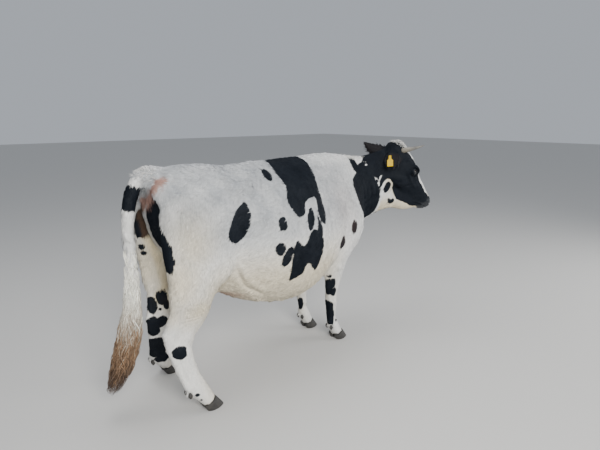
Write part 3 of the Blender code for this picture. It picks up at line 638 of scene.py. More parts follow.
# Flank outlines: x, and degrees round the barrel from the spine, the cow's right side positive.
FLANK_BLACK = {
    "saddle": ((-0.07, 4), (-0.1, 22), (-0.08, 36), (-0.11, 52), (-0.06, 68), (0.0, 66),
               (0.03, 54), (0.12, 52), (0.11, 70), (0.14, 80), (0.17, 76), (0.18, 42),
               (0.22, 12), (0.2, -18), (0.15, -38), (0.17, -62), (0.09, -78), (0.0, -66),
               (-0.04, -40), (-0.06, -12)),
    "link": ((0.1, 70), (0.13, 84), (0.12, 94), (0.06, 94), (0.09, 82)),
    "low patch": ((0.06, 84), (0.13, 94), (0.13, 110), (0.08, 126), (0.01, 116), (-0.03, 126),
                  (-0.11, 132), (-0.12, 114), (-0.11, 96), (-0.08, 92), (-0.04, 98),
                  (0.0, 92), (0.02, 86)),
    "diamond": ((-0.4, 46), (-0.38, 60), (-0.41, 74), (-0.48, 84), (-0.54, 74), (-0.5, 58),
                (-0.45, 48)),
    "oval in the notch": flank_oval(0.04, 73, 0.075, 0.03, -15),
    "tilted oval": flank_oval(-0.15, 107, 0.07, 0.03, -20),
    "round": flank_oval(-0.2, 98, 0.045, 0.035),
    "small": flank_oval(-0.18, 72, 0.045, 0.03),
    "loin oval": flank_oval(-0.17, 23, 0.045, 0.03, -15),
    "left barrel": ((-0.3, -48), (-0.21, -40), (-0.13, -52), (-0.15, -70), (-0.08, -88),
                    (-0.13, -112), (-0.22, -120), (-0.3, -104), (-0.34, -84), (-0.36, -62)),
    "left low": flank_oval(0.11, -110, 0.11, 0.08),
    "left loin": flank_oval(-0.55, -31, 0.125, 0.135),
    "left hip spot": flank_oval(-0.47, -75, 0.055, 0.035),
}
# Neck outlines: x, z. The hood is one for each side, as the throat's white is on the right.
HOOD_FRONT = ((1.3, 0.86), (1.6, 0.8), (1.65, 1.2), (1.6, 1.6))
HOOD = {
    -1: ((0.9, 1.6), (0.86, 1.42), (0.84, 1.33), (0.77, 1.3), (0.68, 1.24), (0.61, 1.2),
         (0.59, 1.13), (0.61, 1.03), (0.68, 0.94), (0.76, 0.87), (0.86, 0.87), (0.95, 0.91),
         (0.95, 1.04), (0.94, 1.12), (0.99, 1.18), (1.04, 1.14), (1.08, 1.06), (1.09, 1.01),
         (1.13, 0.99), (1.17, 0.94)) + HOOD_FRONT,
    1: ((0.84, 1.6), (0.8, 1.42), (0.78, 1.33), (0.7, 1.26), (0.63, 1.18), (0.6, 1.08),
        (0.65, 0.96), (0.72, 0.88), (0.82, 0.85), (1.0, 0.89), (1.06, 0.95),
        (1.12, 0.93)) + HOOD_FRONT,
}
NECK_BLACK = {
    "crest": oval(0.71, 1.3, 0.055, 0.042, 25),
    "throat oval": oval(1.0, 1.11, 0.045, 0.033, 10),
    "heart": ((1.06, 0.97), (1.03, 1.0), (1.04, 1.02), (1.06, 1.01), (1.07, 1.02),
              (1.08, 1.0)),
}
NECK_WHITE_LINES = (  # x, z pairs and half width
    (((0.89, 1.19), (0.92, 1.17), (0.92, 1.13)), 0.006),
    (((0.94, 1.2), (0.92, 1.17)), 0.006),
    (((0.83, 1.29), (0.84, 1.29)), 0.006),
)
# Rear outlines: y, z, on what faces backwards.
REAR_BLACK = {
    "buttock stripe": ((-0.06, 1.23), (0.0, 1.16), (0.01, 1.08), (0.01, 0.99), (-0.05, 0.92),
                       (-0.16, 0.86), (-0.23, 0.85), (-0.24, 0.95), (-0.22, 1.03),
                       (-0.14, 1.15), (-0.12, 1.18), (-0.13, 1.22), (-0.11, 1.24)),
    "left thigh": oval(0.14, 1.05, 0.085, 0.03, -10),
}
# Spots anywhere: centre and half sizes.
BLACK_SPOTS = (
    ((-0.96, -0.01, 1.23), (0.08, 0.07, 0.07)),  # tail dock
    ((-0.86, 0.15, 0.91), (0.03, 0.02, 0.02)), ((-0.85, 0.15, 0.87), (0.03, 0.015, 0.015)),
    ((-0.84, 0.1, 0.56), (0.03, 0.06, 0.055)), ((-0.78, 0.08, 0.6), (0.035, 0.06, 0.05)),
    ((-0.76, 0.08, 0.55), (0.02, 0.05, 0.03)), ((-0.8, 0.07, 0.53), (0.01, 0.03, 0.01)),
    ((-0.85, 0.09, 0.44), (0.045, 0.07, 0.055)), ((-0.8, 0.07, 0.45), (0.04, 0.06, 0.04)),
    ((-0.84, 0.09, 0.39), (0.035, 0.07, 0.035)), ((-0.83, 0.11, 0.28), (0.07, 0.11, 0.06)),
    ((-0.8, 0.14, 0.22), (0.075, 0.11, 0.065)), ((-0.76, 0.2, 0.15), (0.055, 0.09, 0.035)),
    ((-0.83, -0.21, 0.37), (0.045, 0.06, 0.04)),  # right hock
    ((-0.78, -0.28, 0.12), (0.015, 0.015, 0.012)), ((-0.76, -0.29, 0.08), (0.01, 0.012, 0.01)),
    ((0.51, -0.29, 0.89), (0.03, 0.07, 0.05)), ((0.39, -0.29, 0.8), (0.035, 0.07, 0.055)),
    ((0.34, -0.21, 0.54), (0.015, 0.025, 0.012)), ((0.36, -0.2, 0.48), (0.035, 0.07, 0.045)),
    ((0.35, -0.19, 0.42), (0.035, 0.07, 0.045)), ((0.39, -0.2, 0.41), (0.025, 0.06, 0.035)),
    ((0.37, -0.16, 0.27), (0.04, 0.07, 0.07)), ((0.39, -0.16, 0.2), (0.04, 0.07, 0.075)),
    ((0.39, -0.15, 0.14), (0.035, 0.06, 0.045)), ((0.45, -0.18, 0.16), (0.012, 0.015, 0.01)),
    ((0.36, 0.12, 0.22), (0.02, 0.04, 0.05)), ((0.36, 0.11, 0.47), (0.02, 0.04, 0.015)),
    ((0.47, 0.29, 0.7), (0.06, 0.06, 0.085)), ((0.56, 0.24, 0.9), (0.035, 0.06, 0.04)),
    ((-0.6, 0.3, 0.82), (0.06, 0.08, 0.075)),
)
# Small grey mottles on top of the rump, spread by the golden angle: x, y.
MOTTLES = [(-0.59 + 0.13 * math.sqrt(k / 12) * math.cos(2.4 * k),
            -0.08 + 0.11 * math.sqrt(k / 12) * math.sin(2.4 * k)) for k in range(12)]
# The blaze in head coordinates: place down the face and half width.
BLAZE = ((-0.06, 0.025), (-0.01, 0.05), (0.03, 0.075), (0.09, 0.075), (0.15, 0.05),
         (0.26, 0.06), (0.34, 0.05), (0.42, 0.05), (0.45, 0.045), (0.46, -0.02))
CHIN_TOP = ((0.29, -0.28), (0.39, -0.21), (0.43, -0.19), (0.46, -0.15), (0.49, -0.12),
            (0.53, -0.08))  # the white lower lip's upper edge
# The mouth's line in head coordinates, from the middle of the front to the right corner.
MOUTH = ((0.525, 0.0, -0.085), (0.515, -0.03, -0.088), (0.5, -0.05, -0.098),
         (0.47, -0.06, -0.12), (0.445, -0.06, -0.14), (0.42, -0.06, -0.155))
# The rear's tinted places, as paths.
PINK_PATH = ((-0.82, -0.1, 1.32), (-0.87, -0.12, 1.29), (-0.87, -0.07, 1.25),
             (-0.88, -0.02, 1.21), (-0.88, 0.05, 1.19))
BROWN_PATH = ((-0.88, 0.03, 1.2), (-0.86, 0.12, 1.13), (-0.84, 0.12, 0.99))
CLEFT_PATH = ((-0.84, 0.12, 1.0), (-0.78, 0.11, 0.84), (-0.75, 0.09, 0.67), (-0.8, 0.09, 0.6))
HAM_PATH = ((-0.87, -0.17, 0.8), (-0.87, -0.2, 0.7), (-0.86, -0.19, 0.6))
NECK_MIDDLE = ((0.66, 0.0), (0.78, -0.01), (0.88, -0.04), (0.97, -0.07), (1.05, -0.11),
               (1.3, -0.26))


def lateral(p):
    """Distance to the left of the neck's middle line."""
    return p[:, 1] - lookup(p[:, 0], NECK_MIDDLE)


def added(black, where, depth):
    """The black with one more patch, where it may lie."""
    return np.where(where, np.maximum(black, depth), black)


def body_black(p, zone):
    """The black patches of the trunk, neck and rear, and the spots."""
    x, y, z = p.T
    round_ = np.arctan2(np.abs(y), z - SPINE_HEIGHT) * np.sign(-y + 1e-9) * BARREL_RADIUS
    black = np.full(len(p), -1.0)
    for outline in FLANK_BLACK.values():
        patch = np.array(outline, float)
        patch[:, 1] = np.radians(patch[:, 1]) * BARREL_RADIUS
        black = added(black, (x < 0.3) & (x > -0.75), reach(x, round_, curved(patch)))
    side = lateral(p)
    for where, outline in HOOD.items():
        depth = reach(x, z, curved(outline, steps=2))
        black = added(black, (side * where >= 0) & (x > 0.45), depth)
    for outline in NECK_BLACK.values():
        black = added(black, (side < 0.02) & (x > 0.45), reach(x, z, curved(outline)))
    rear = (x < -0.7) & (z > 0.8) & (zone["tail"] < 0.5)
    for outline in REAR_BLACK.values():
        black = added(black, rear, np.minimum(reach(y, z, curved(outline)), (-0.765 - x) * 0.8))
    for centre, half in BLACK_SPOTS:
        black = np.maximum(black, (1 - norms((p - centre) / half)) * min(half))
    flat = np.column_stack((x, z))
    for path, half in NECK_WHITE_LINES:
        away, _ = off_line(flat, path)
        black = np.where((side < 0) & (x > 0.6), np.minimum(black, away - half), black)
    return black


def black_depth(p):
    """How deep in black hair each point lies, in metres; below nought in white."""
    q = to_head(p)
    zone = regions(p)
    black = body_black(p, zone)
    on_head = zone["head"] > 0.5
    blaze = lookup(q[:, 0], BLAZE) - np.abs(q[:, 1] - 0.002)
    blaze = np.minimum(blaze, (q[:, 2] + 0.03) * 1.2)
    black = np.where(on_head & (q[:, 0] > -0.05), np.minimum(black, -blaze), black)
    chin = lookup(q[:, 0], CHIN_TOP) - q[:, 2]
    chin = chin - 0.055 * step(0.45, 0.32, q[:, 0]) * (q[:, 1] > 0)
    black = np.where(on_head & (q[:, 0] > 0.29), np.minimum(black, -chin), black)
    return np.clip(black, -0.05, 0.05) + 0.0022 * waves(p, 0.035, 5) + 0.001 * waves(p, 0.014, 6)


def stain_and_warm_shade_field(p, q, zone):
    """Cream and yellow-brown stains by the tail and on the rear, and painted warm shade: cream on the
    lower body, the lower jaw and the throat.
    """
    x, _, z = p.T
    cleft, _ = off_line(p, CLEFT_PATH)
    ham, _ = off_line(p, HAM_PATH)
    off_tail = np.maximum.reduce((
        0.95 * bell(cleft, 0.05) + 0.55 * bell(ham, 0.085),
        0.65 * bell(np.hypot(x + 0.84, (z - 0.78) * 0.7), 0.15),
        # Painted warm shade: cream along the lower body.
        0.72 * step(0.98, 0.66, z) * step(-0.85, -0.55, x) * step(0.5, 0.2, x),
        # Painted shade: cream on the lower side of the head.
        0.8 * step(0.02, 0.12, q[:, 0]) * step(0.46, 0.34, q[:, 0]) * zone["head"]
        * (q[:, 2] < -0.12)))
    return np.maximum.reduce((
        off_tail * (1 - zone["tail"]),
        zone["tail"] * (0.06 + 0.3 * step(0.95, 0.62, z)),
        0.12 * zone["legs"],
        0.5 * bell(np.hypot((x + 0.76) / 0.13, (z - 0.98) / 0.17), 1.0),
        0.7 * bell(np.hypot((x + 0.7) / 0.16, (z - 0.6) / 0.12), 1.0),
        # Painted shade: cream on the throat below the head.
        0.8 * bell(z - 0.95, 0.08) * (x > 0.98) * (x < 1.35)))


def pink_field(p, zone):
    """Thinly haired pink skin: below the tail, on the udder, and a blush behind the shoulder."""
    x, y, z = p.T
    off, _ = off_line(p, PINK_PATH)
    below_tail = step(0.052, 0.014, off + 0.013 * waves(p, 0.022, 42)) * (1 - zone["tail"])
    udder = (step(0.62, 0.56, z) * bell(x + 0.5, 0.16) * step(0.17, 0.13, np.abs(y))
             * (1 - zone["legs"]))
    blush = 0.16 * cloud(p, (0.42, -0.27, 1.02), (0.14, 0.12, 0.22))
    return np.maximum.reduce((below_tail, udder, blush))


def shade_and_mottle_field(p, zone):
    """Painted grey shade on the upper body and the rump, and the rump's small real mottles."""
    x, y, z = p.T
    # Painted shade: the upper body greyer than the lower, less so on top of the withers where light falls.
    back = (0.6 * step(0.76, 1.1, z) * step(0.9, 0.3, x)
            * (1 - 0.6 * step(1.3, 1.36, z) * step(0.1, 0.4, x)))
    # The grey cloud on the rump is partly painted shade and partly real grey blotches.
    grey = np.maximum(0.3 * cloud(p, (-0.58, -0.14, 1.3), (0.24, 0.22, 0.16)), back)
    grey = grey * (1 + 0.1 * waves(p, 0.03, 9) + 0.16 * waves(p, 0.17, 14)) * (1 - zone["tail"])
    for along, across in MOTTLES:
        grey = np.maximum(grey, 0.85 * bell(np.hypot(x - along, y - across), 0.01) * (z > 1.25))
    return grey


def bare_field(p, q, zone):
    """Hairless dark skin: the muzzle and the lids' edges."""
    bare = step(0.452, 0.474, q[:, 0] + 0.01 * waves(p, 0.03, 12))
    bare = bare * step(-0.155, -0.135, q[:, 2]) * (zone["head"] > 0.5)
    for side in (-1, 1):
        _, _, o, rho, _ = eye_frame(q, side)
        bare = np.maximum(bare, step(1.42, 1.26, rho) * (np.abs(o) < 0.04))
    return bare


def colour_fields(p):
    """Everything that the coat's colour is made from, for each point."""
    q = to_head(p)
    zone = regions(p)
    off, _ = off_line(p, BROWN_PATH)
    brown = step(0.034, 0.016, off + 0.006 * waves(p, 0.03, 41)) * (1 - zone["tail"])
    return {"mark": black_depth(p), "stain_and_warm_shade": np.clip(stain_and_warm_shade_field(p, q, zone), 0, 1),
            "brown": np.maximum(brown, 0.16 * zone["ears"]),
            "pink": np.clip(pink_field(p, zone), 0, 1),
            "grey": np.clip(shade_and_mottle_field(p, zone), 0, 1), "bare": bare_field(p, q, zone)}


# ---------------------------------------------------------------- materials
class Look:
    """A node material under construction."""

    def __init__(self, name, roughness):
        self.material = bpy.data.materials.new(name)
        self.material.use_nodes = True
        self.tree = self.material.node_tree
        self.shader = self.tree.nodes["Principled BSDF"]
        self.set("Roughness", roughness)

    def set(self, socket, value):
        self.shader.inputs[socket].default_value = value

    def node(self, kind, **settings):
        made = self.tree.nodes.new(kind)
        for key, value in settings.items():
            setattr(made, key, value)
        return made

    def join(self, source, target):
        if hasattr(source, "links"):
            self.tree.links.new(source, target)
        elif hasattr(target.default_value, "__len__") and len(target.default_value) == 4:
            target.default_value = (*source, 1.0)
        else:
            target.default_value = source

    def field(self, name):
        return self.node("ShaderNodeAttribute", attribute_name=name).outputs["Fac"]

    def place(self):
        return self.node("ShaderNodeTexCoord").outputs["Object"]

    def noise(self, scale, detail=3.0, rough=0.55, squash=None):
        made = self.node("ShaderNodeTexNoise")
        where = self.place()
        if squash:
            turn = self.node("ShaderNodeMapping")
            turn.inputs["Scale"].default_value = squash
            self.join(where, turn.inputs["Vector"])
            where = turn.outputs["Vector"]
        self.join(where, made.inputs["Vector"])
        made.inputs["Scale"].default_value = scale
        made.inputs["Detail"].default_value = detail
        made.inputs["Roughness"].default_value = rough
        return made.outputs["Fac"]

    def cells(self, scale):
        made = self.node("ShaderNodeTexVoronoi", feature="F1")
        self.join(self.place(), made.inputs["Vector"])
        made.inputs["Scale"].default_value = scale
        return made.outputs["Distance"]

    def ramp(self, value, low, high, to_low=0.0, to_high=1.0):
        made = self.node("ShaderNodeMapRange")
        self.join(value, made.inputs["Value"])
        for key, number in (("From Min", low), ("From Max", high), ("To Min", to_low),
                            ("To Max", to_high)):
            made.inputs[key].default_value = number
        return made.outputs["Result"]

    def mix(self, share, a, b, blend="MIX"):
        made = self.node("ShaderNodeMix", data_type="RGBA", blend_type=blend)
        self.join(share, made.inputs[0])
        self.join(a, made.inputs[6])
        self.join(b, made.inputs[7])
        return made.outputs[2]

    def maths(self, operation, a, b):
        made = self.node("ShaderNodeMath", operation=operation)
        self.join(a, made.inputs[0])
        self.join(b, made.inputs[1])
        return made.outputs["Value"]

    def grey(self, value):
        made = self.node("ShaderNodeCombineColor")
        for k in range(3):
            self.join(value, made.inputs[k])
        return made.outputs["Color"]

    def bump(self, height, distance, strength=1.0):
        made = self.node("ShaderNodeBump")
        made.inputs["Distance"].default_value = distance
        made.inputs["Strength"].default_value = strength
        self.join(height, made.inputs["Height"])
        self.join(made.outputs["Normal"], self.shader.inputs["Normal"])

    def colour(self, source):
        self.join(source, self.shader.inputs["Base Color"])
        return self.material


# Colours of hair and skin. A pair is mixed in patches.
WHITE_HAIR = ((0.76, 0.765, 0.755), (0.82, 0.815, 0.8))
# The black hair's blue tint is a painted reflection of the sky.
BLACK_HAIR_SKY_TINTED = ((0.005, 0.0075, 0.012), (0.0095, 0.0125, 0.018))
# The grey is painted shade with a painted blue sky tint, and also the real mottles' colour; the cream is
# real stain and painted warm shade.
GREY_SHADE_AND_MOTTLE_HAIR, STAIN_AND_WARM_SHADE_HAIR = (0.2, 0.22, 0.25), (0.7, 0.6, 0.4)
BROWN_SKIN, PINK_SKIN = (0.06, 0.038, 0.026), (0.36, 0.215, 0.175)
BARE_SKIN = ((0.02, 0.022, 0.026), (0.046, 0.05, 0.056))
MARK_EDGE = 0.0015  # half the width of the edge between black and white


def coat_look(name, with_skin):
    """White and black hair by the marking's depth, with stains, painted warm shade and painted grey shade;
    the hide adds bump and bare lips.
    """
    look = Look(name, 0.62)
    gloss = look.ramp(look.field("mark"), -MARK_EDGE, MARK_EDGE, 0.3, 0.13)
    look.join(gloss, look.shader.inputs["Specular IOR Level"])
    patchy = look.ramp(look.noise(9.0, 4.0), 0.35, 0.65)
    white = look.mix(patchy, *WHITE_HAIR)
    # Grey: mostly painted shade on the upper body and rump, with real mottles.
    white = look.mix(look.field("grey"), white, GREY_SHADE_AND_MOTTLE_HAIR)
    # Cream: real stains, and painted warm shade on the lower body, jaw and throat.
    white = look.mix(look.field("stain_and_warm_shade"), white, STAIN_AND_WARM_SHADE_HAIR)
    black = look.mix(patchy, *BLACK_HAIR_SKY_TINTED)
    coat = look.mix(look.ramp(look.field("mark"), -MARK_EDGE, MARK_EDGE), white, black)
    coat = look.mix(look.field("brown"), coat, BROWN_SKIN)
    coat = look.mix(look.field("pink"), coat, PINK_SKIN)
    if with_skin:
        wet = look.mix(look.ramp(look.noise(60.0), 0.3, 0.7), *BARE_SKIN)
        coat = look.mix(look.field("bare"), coat, wet)
        hairs = look.maths("ADD", look.noise(260.0, 4.0, 0.6, (1.0, 1.0, 0.35)),
                           look.noise(70.0, 3.0, 0.5))
        pebbles = look.ramp(look.cells(230.0), 0.0, 0.6)
        height = look.mix(look.field("bare"), look.grey(hairs), look.grey(pebbles))
        look.bump(height, 0.0012, 0.8)
        shine = look.ramp(look.field("bare"), 0.0, 1.0, 0.62, 0.28)
        look.join(shine, look.shader.inputs["Roughness"])
        return look.colour(coat)
    return look.colour(look.mix(1.0, coat, look.grey(look.field("shade")), "MULTIPLY"))


def hair_look(name, top, end, dark):
    """Long hair: colour runs along 'run' from top to end, with strands darker by 'shade'."""
    look = Look(name, 0.5)
    look.set("Specular IOR Level", 0.4)
    coat = look.mix(look.ramp(look.field("run"), 0.4, 0.68), top, end)
    coat = look.mix(look.ramp(look.field("run"), 0.7, 1.0), coat, dark)
    return look.colour(look.mix(1.0, coat, look.grey(look.field("shade")), "MULTIPLY"))


def horn_look():
    look = Look("horn", 0.42)
    streaks = look.noise(30.0, 5.0, 0.65)
    run = look.field("run")
    base = look.mix(look.ramp(streaks, 0.35, 0.7), (0.33, 0.3, 0.24), (0.2, 0.18, 0.15))
    tip = look.mix(look.ramp(streaks, 0.3, 0.7), (0.2, 0.19, 0.17), (0.1, 0.095, 0.09))
    colour = look.mix(look.ramp(run, 0.65, 0.98), base, tip)
    colour = look.mix(look.ramp(run, 0.0, 0.12, 0.6, 0.0), colour, (0.1, 0.085, 0.07))
    look.bump(look.noise(55.0, 6.0, 0.7), 0.0012, 0.7)
    return look.colour(colour)


def claw_look():
    look = Look("claw", 0.5)
    bands = look.noise(24.0, 5.0, 0.6, (1.0, 1.0, 5.0))
    colour = look.mix(look.ramp(bands, 0.3, 0.7), (0.02, 0.02, 0.02), (0.05, 0.046, 0.042))
    dust = look.ramp(look.noise(40.0, 4.0), 0.5, 0.8, 0.0, 0.22)
    look.bump(bands, 0.0015, 0.8)
    return look.colour(look.mix(dust, colour, (0.17, 0.145, 0.11)))


def tag_look():
    look = Look("tag", 0.5)
    look.set("Specular IOR Level", 0.25)
    grime = look.ramp(look.noise(50.0, 5.0, 0.65), 0.45, 0.8, 0.0, 0.5)
    look.bump(look.noise(180.0, 3.0), 0.0003, 0.5)
    return look.colour(look.mix(grime, (0.66, 0.42, 0.003), (0.46, 0.3, 0.012)))


# ---------------------------------------------------------------- floor, light, camera
def plain(name, colour, roughness):
    material = bpy.data.materials.new(name)
    material.use_nodes = True
    shader = material.node_tree.nodes["Principled BSDF"]
    shader.inputs["Base Color"].default_value = (*colour, 1)
    shader.inputs["Roughness"].default_value = roughness
    return material


def area_light(name, place, aim, size, power, colour):
    data = bpy.data.lights.new(name, "AREA")
    data.shape, data.size, data.energy, data.color = "DISK", size, power, colour
    light = bpy.data.objects.new(name, data)
    light.location = place
    light.rotation_mode = "QUATERNION"
    light.rotation_quaternion = (Vector(aim) - Vector(place)).to_track_quat("-Z", "Y")
    bpy.context.scene.collection.objects.link(light)


def studio():
    corners = [(x * FLOOR_HALF, y * FLOOR_HALF, CAD_LOW.z)
               for x, y in ((-1, -1), (1, -1), (1, 1), (-1, 1))]
    me = mesh_of("floor", np.array(corners, float), np.array(((0, 1, 2, 3),)))
    floor = bpy.data.objects.new("floor", me)
    bpy.context.scene.collection.objects.link(floor)
    me.materials.append(plain("floor", (0.6, 0.59, 0.57), 0.9))
    world = bpy.data.worlds.new("world")
    bpy.context.scene.world = world
    world.use_nodes = True
    back = world.node_tree.nodes["Background"]
    back.inputs["Color"].default_value = SKY
    back.inputs["Strength"].default_value = SKY_STRENGTH
    for light in LIGHTS:
        area_light(*light)


def camera():
    data = bpy.data.cameras.new("camera")
    data.lens, data.sensor_width = CAMERA_LENS, 36.0
    eye = bpy.data.objects.new("camera", data)
    eye.location = Vector(CAMERA_AT) + Vector(BODY_ORIGIN)
    azimuth, pitch = math.radians(CAMERA_HEADING), math.radians(CAMERA_DOWN)
    ahead = Vector((math.cos(azimuth) * math.cos(pitch), math.sin(azimuth) * math.cos(pitch),
                    -math.sin(pitch)))
    eye.rotation_mode = "QUATERNION"
    eye.rotation_quaternion = ahead.to_track_quat("-Z", "Y")
    bpy.context.scene.collection.objects.link(eye)
    bpy.context.scene.camera = eye


# ---------------------------------------------------------------- the coat
TUFTS = 262000
TUFTS_A_PIECE = 48000
TUFT_SINK, TUFT_RISE = 0.0012, 0.0085  # how deep a foot sits, how high a tip may stand
TAIL_LOCKS, TAIL_LOCK_STEPS = 2100, 11
POLL_LOCKS, CREST_LOCKS, TAIL_HEAD_LOCKS = 1100, 260, 200
DEWCLAW_LOCKS, EAR_LOCKS, LASHES = 60, 230, 34  # each
PYRAMID = np.array(((0, 3, 2), (2, 3, 1), (1, 3, 0), (0, 2, 1)))  # the faces of one tuft
PATCH = np.array(((-1, -1), (1, -1), (0, 0), (0, 1))) * 0.0015  # its place on the UV map
# The tail's middle line and half width from top to tip, as in part.py: x, y, z, half width.
TAIL = ((-0.85, 0.0, 1.352, 0.042), (-0.91, 0.0, 1.312, 0.042), (-0.95, 0.0, 1.24, 0.04),
        (-0.972, 0.002, 1.148, 0.038), (-0.98, 0.006, 1.028, 0.034), (-0.98, 0.004, 0.833, 0.033),
        (-0.992, 0.004, 0.64, 0.047), (-1.008, 0.006, 0.54, 0.061), (-1.026, 0.008, 0.447, 0.071),
        (-1.052, 0.012, 0.353, 0.074), (-1.086, 0.018, 0.255, 0.064), (-1.124, 0.022, 0.168, 0.042),
        (-1.142, 0.024, 0.136, 0.016))


def chart(p, zone):
    """Each point's place on an unwrap of the body: trunk, legs, head, ears and tail side by side."""
    q = to_head(p)
    x, y, z = p.T
    uv = np.column_stack(((x + 1.15) / 2.6, 0.02 + 0.46 * around(y, z - SPINE_HEIGHT)))
    leg = zone["legs"] > 0.5
    for k, (fore, side) in enumerate(((0, -1), (0, 1), (1, -1), (1, 1))):
        mine = leg & ((x > 0) == (fore == 1)) & (y * side > 0)
        cx, cy = (0.43, 0.16) if fore else (-0.77, 0.18)
        turn = around(y * side - cy, x - cx)
        uv[mine] = np.column_stack((0.01 + 0.25 * k + 0.23 * turn, 0.5 + 0.36 * z))[mine]
    face = zone["head"] > 0.5
    turn = around(q[:, 1], q[:, 2] + 0.1)
    uv[face] = np.column_stack((0.01 + 0.45 * turn, 0.77 + 0.3 * (q[:, 0] + 0.12)))[face]
    for k, side in enumerate((-1, 1)):
        mine = (zone["ears"] > 0.5) & (q[:, 1] * side > 0)
        base, way = ear(side)
        over = unit(np.cross(way, (0, 0, 1)))
        turn = around((p - base) @ np.cross(way, over), (p - base) @ over)
        uv[mine] = np.column_stack((0.5 + 0.11 * k + 0.1 * turn, 0.78 + 0.8 * ((p - base) @ way)))[mine]
    tail = zone["tail"] > 0.5
    turn = around(y - 0.01, x + 0.97)
    uv[tail] = np.column_stack((0.75 + 0.2 * turn, 0.76 + 0.17 * z))[tail]
    return np.clip(uv, 0.002, 0.998)


def blend(way, share, other):
    """Turns the directions towards other ones, by each point's share."""
    return way * (1 - share)[:, None] + np.asarray(other, float) * share[:, None]


def lie(p, n, zone):
    """Which way the hair lies at each point."""
    q = to_head(p)
    x, _, z = p.T
    none = np.zeros(len(p))
    way = np.column_stack((none - 1.0, none, -0.42 * np.abs(n[:, 1])))
    way = blend(way, step(-0.42, -0.72, x) * step(1.36, 1.22, z), (-0.28, 0, -1.0))
    way = blend(way, step(0.2, 0.42, x) * step(1.25, 0.95, z), (-0.42, 0, -0.9))
    way = blend(way, step(0.62, 0.78, x), (-0.8, 0.18, -0.62))
    way = blend(way, np.maximum(zone["legs"], step(0.74, 0.6, z) * (x > 0.28)), (-0.1, 0, -1.0))
    way = blend(way, zone["tail"], (-0.06, 0, -1.0))
    whorl = np.column_stack((q[:, 0] - 0.11, q[:, 1] * 1.3, none))
    cheek = np.column_stack((0.9 * step(0.22, 0.4, q[:, 0]) - 0.35 * step(0.3, 0.1, q[:, 0]),
                             none, none - 0.8))
    face = blend(unit(cheek), step(0.1, 0.6, n @ HEAD_AXES[:, 2]), unit(whorl))
    way = blend(way, zone["head"], face @ HEAD_AXES.T)
    for side in (-1, 1):
        way = blend(way, zone["ears"] * (q[:, 1] * side > 0), ear(side)[1][None])
    swirl = 0.3 * waves(p, 0.16, 21) + 0.3 * waves(p, 0.045, 22)
    way = unit(way - n * np.sum(way * n, axis=1)[:, None])
    return unit(way + np.cross(n, way) * swirl[:, None])


def hair_size(p, zone, fields):
    """Length of the tufts at each point."""
    size = np.full(len(p), 0.018)
    size = size + 0.006 * step(0.6, 0.48, p[:, 2]) * (1 - zone["legs"])
    size = size * (1 - 0.42 * zone["legs"]) * (1 - 0.3 * zone["feet"])
    q = to_head(p)
    size = size * (1 - zone["head"]) + zone["head"] * (0.0115 - 0.004 * step(0.2, 0.45, q[:, 0]))
    size = size * (1 - zone["ears"]) + zone["ears"] * 0.011
    size = size + 0.01 * zone["tail"] * step(1.22, 1.0, p[:, 2])
    return size * (1 - 0.35 * np.clip(fields["pink"], 0, 1))


def tuft_corners(root, n, way, length, width, rise):
    """The four corners of each tuft: two at its foot, one on its back, and its tip."""
    side = np.cross(n, way)
    foot = root - n * TUFT_SINK
    corners = np.empty((len(root), 4, 3))
    corners[:, 0] = foot - side * (width / 2)[:, None]
    corners[:, 1] = foot + side * (width / 2)[:, None]
    corners[:, 2] = (root + way * (length * 0.3)[:, None]
                     + n * (width * 0.42 + rise * 0.45)[:, None])
    corners[:, 3] = root + way * length[:, None] + n * rise[:, None]
    return corners


def tuft_normals(n, way):
    """Normals near the skin's own, so that the tufts catch light as a coat."""
    side = np.cross(n, way)
    stray = rng.normal(0, 0.16, (len(n), 3))
    facing = np.empty((len(n), 4, 3))
    for k, (across, on) in enumerate(((-0.55, -0.1), (0.55, -0.1), (0, 0.05), (0, 0.35))):
        facing[:, k] = unit(n + side * across + way * on + stray)
    return facing


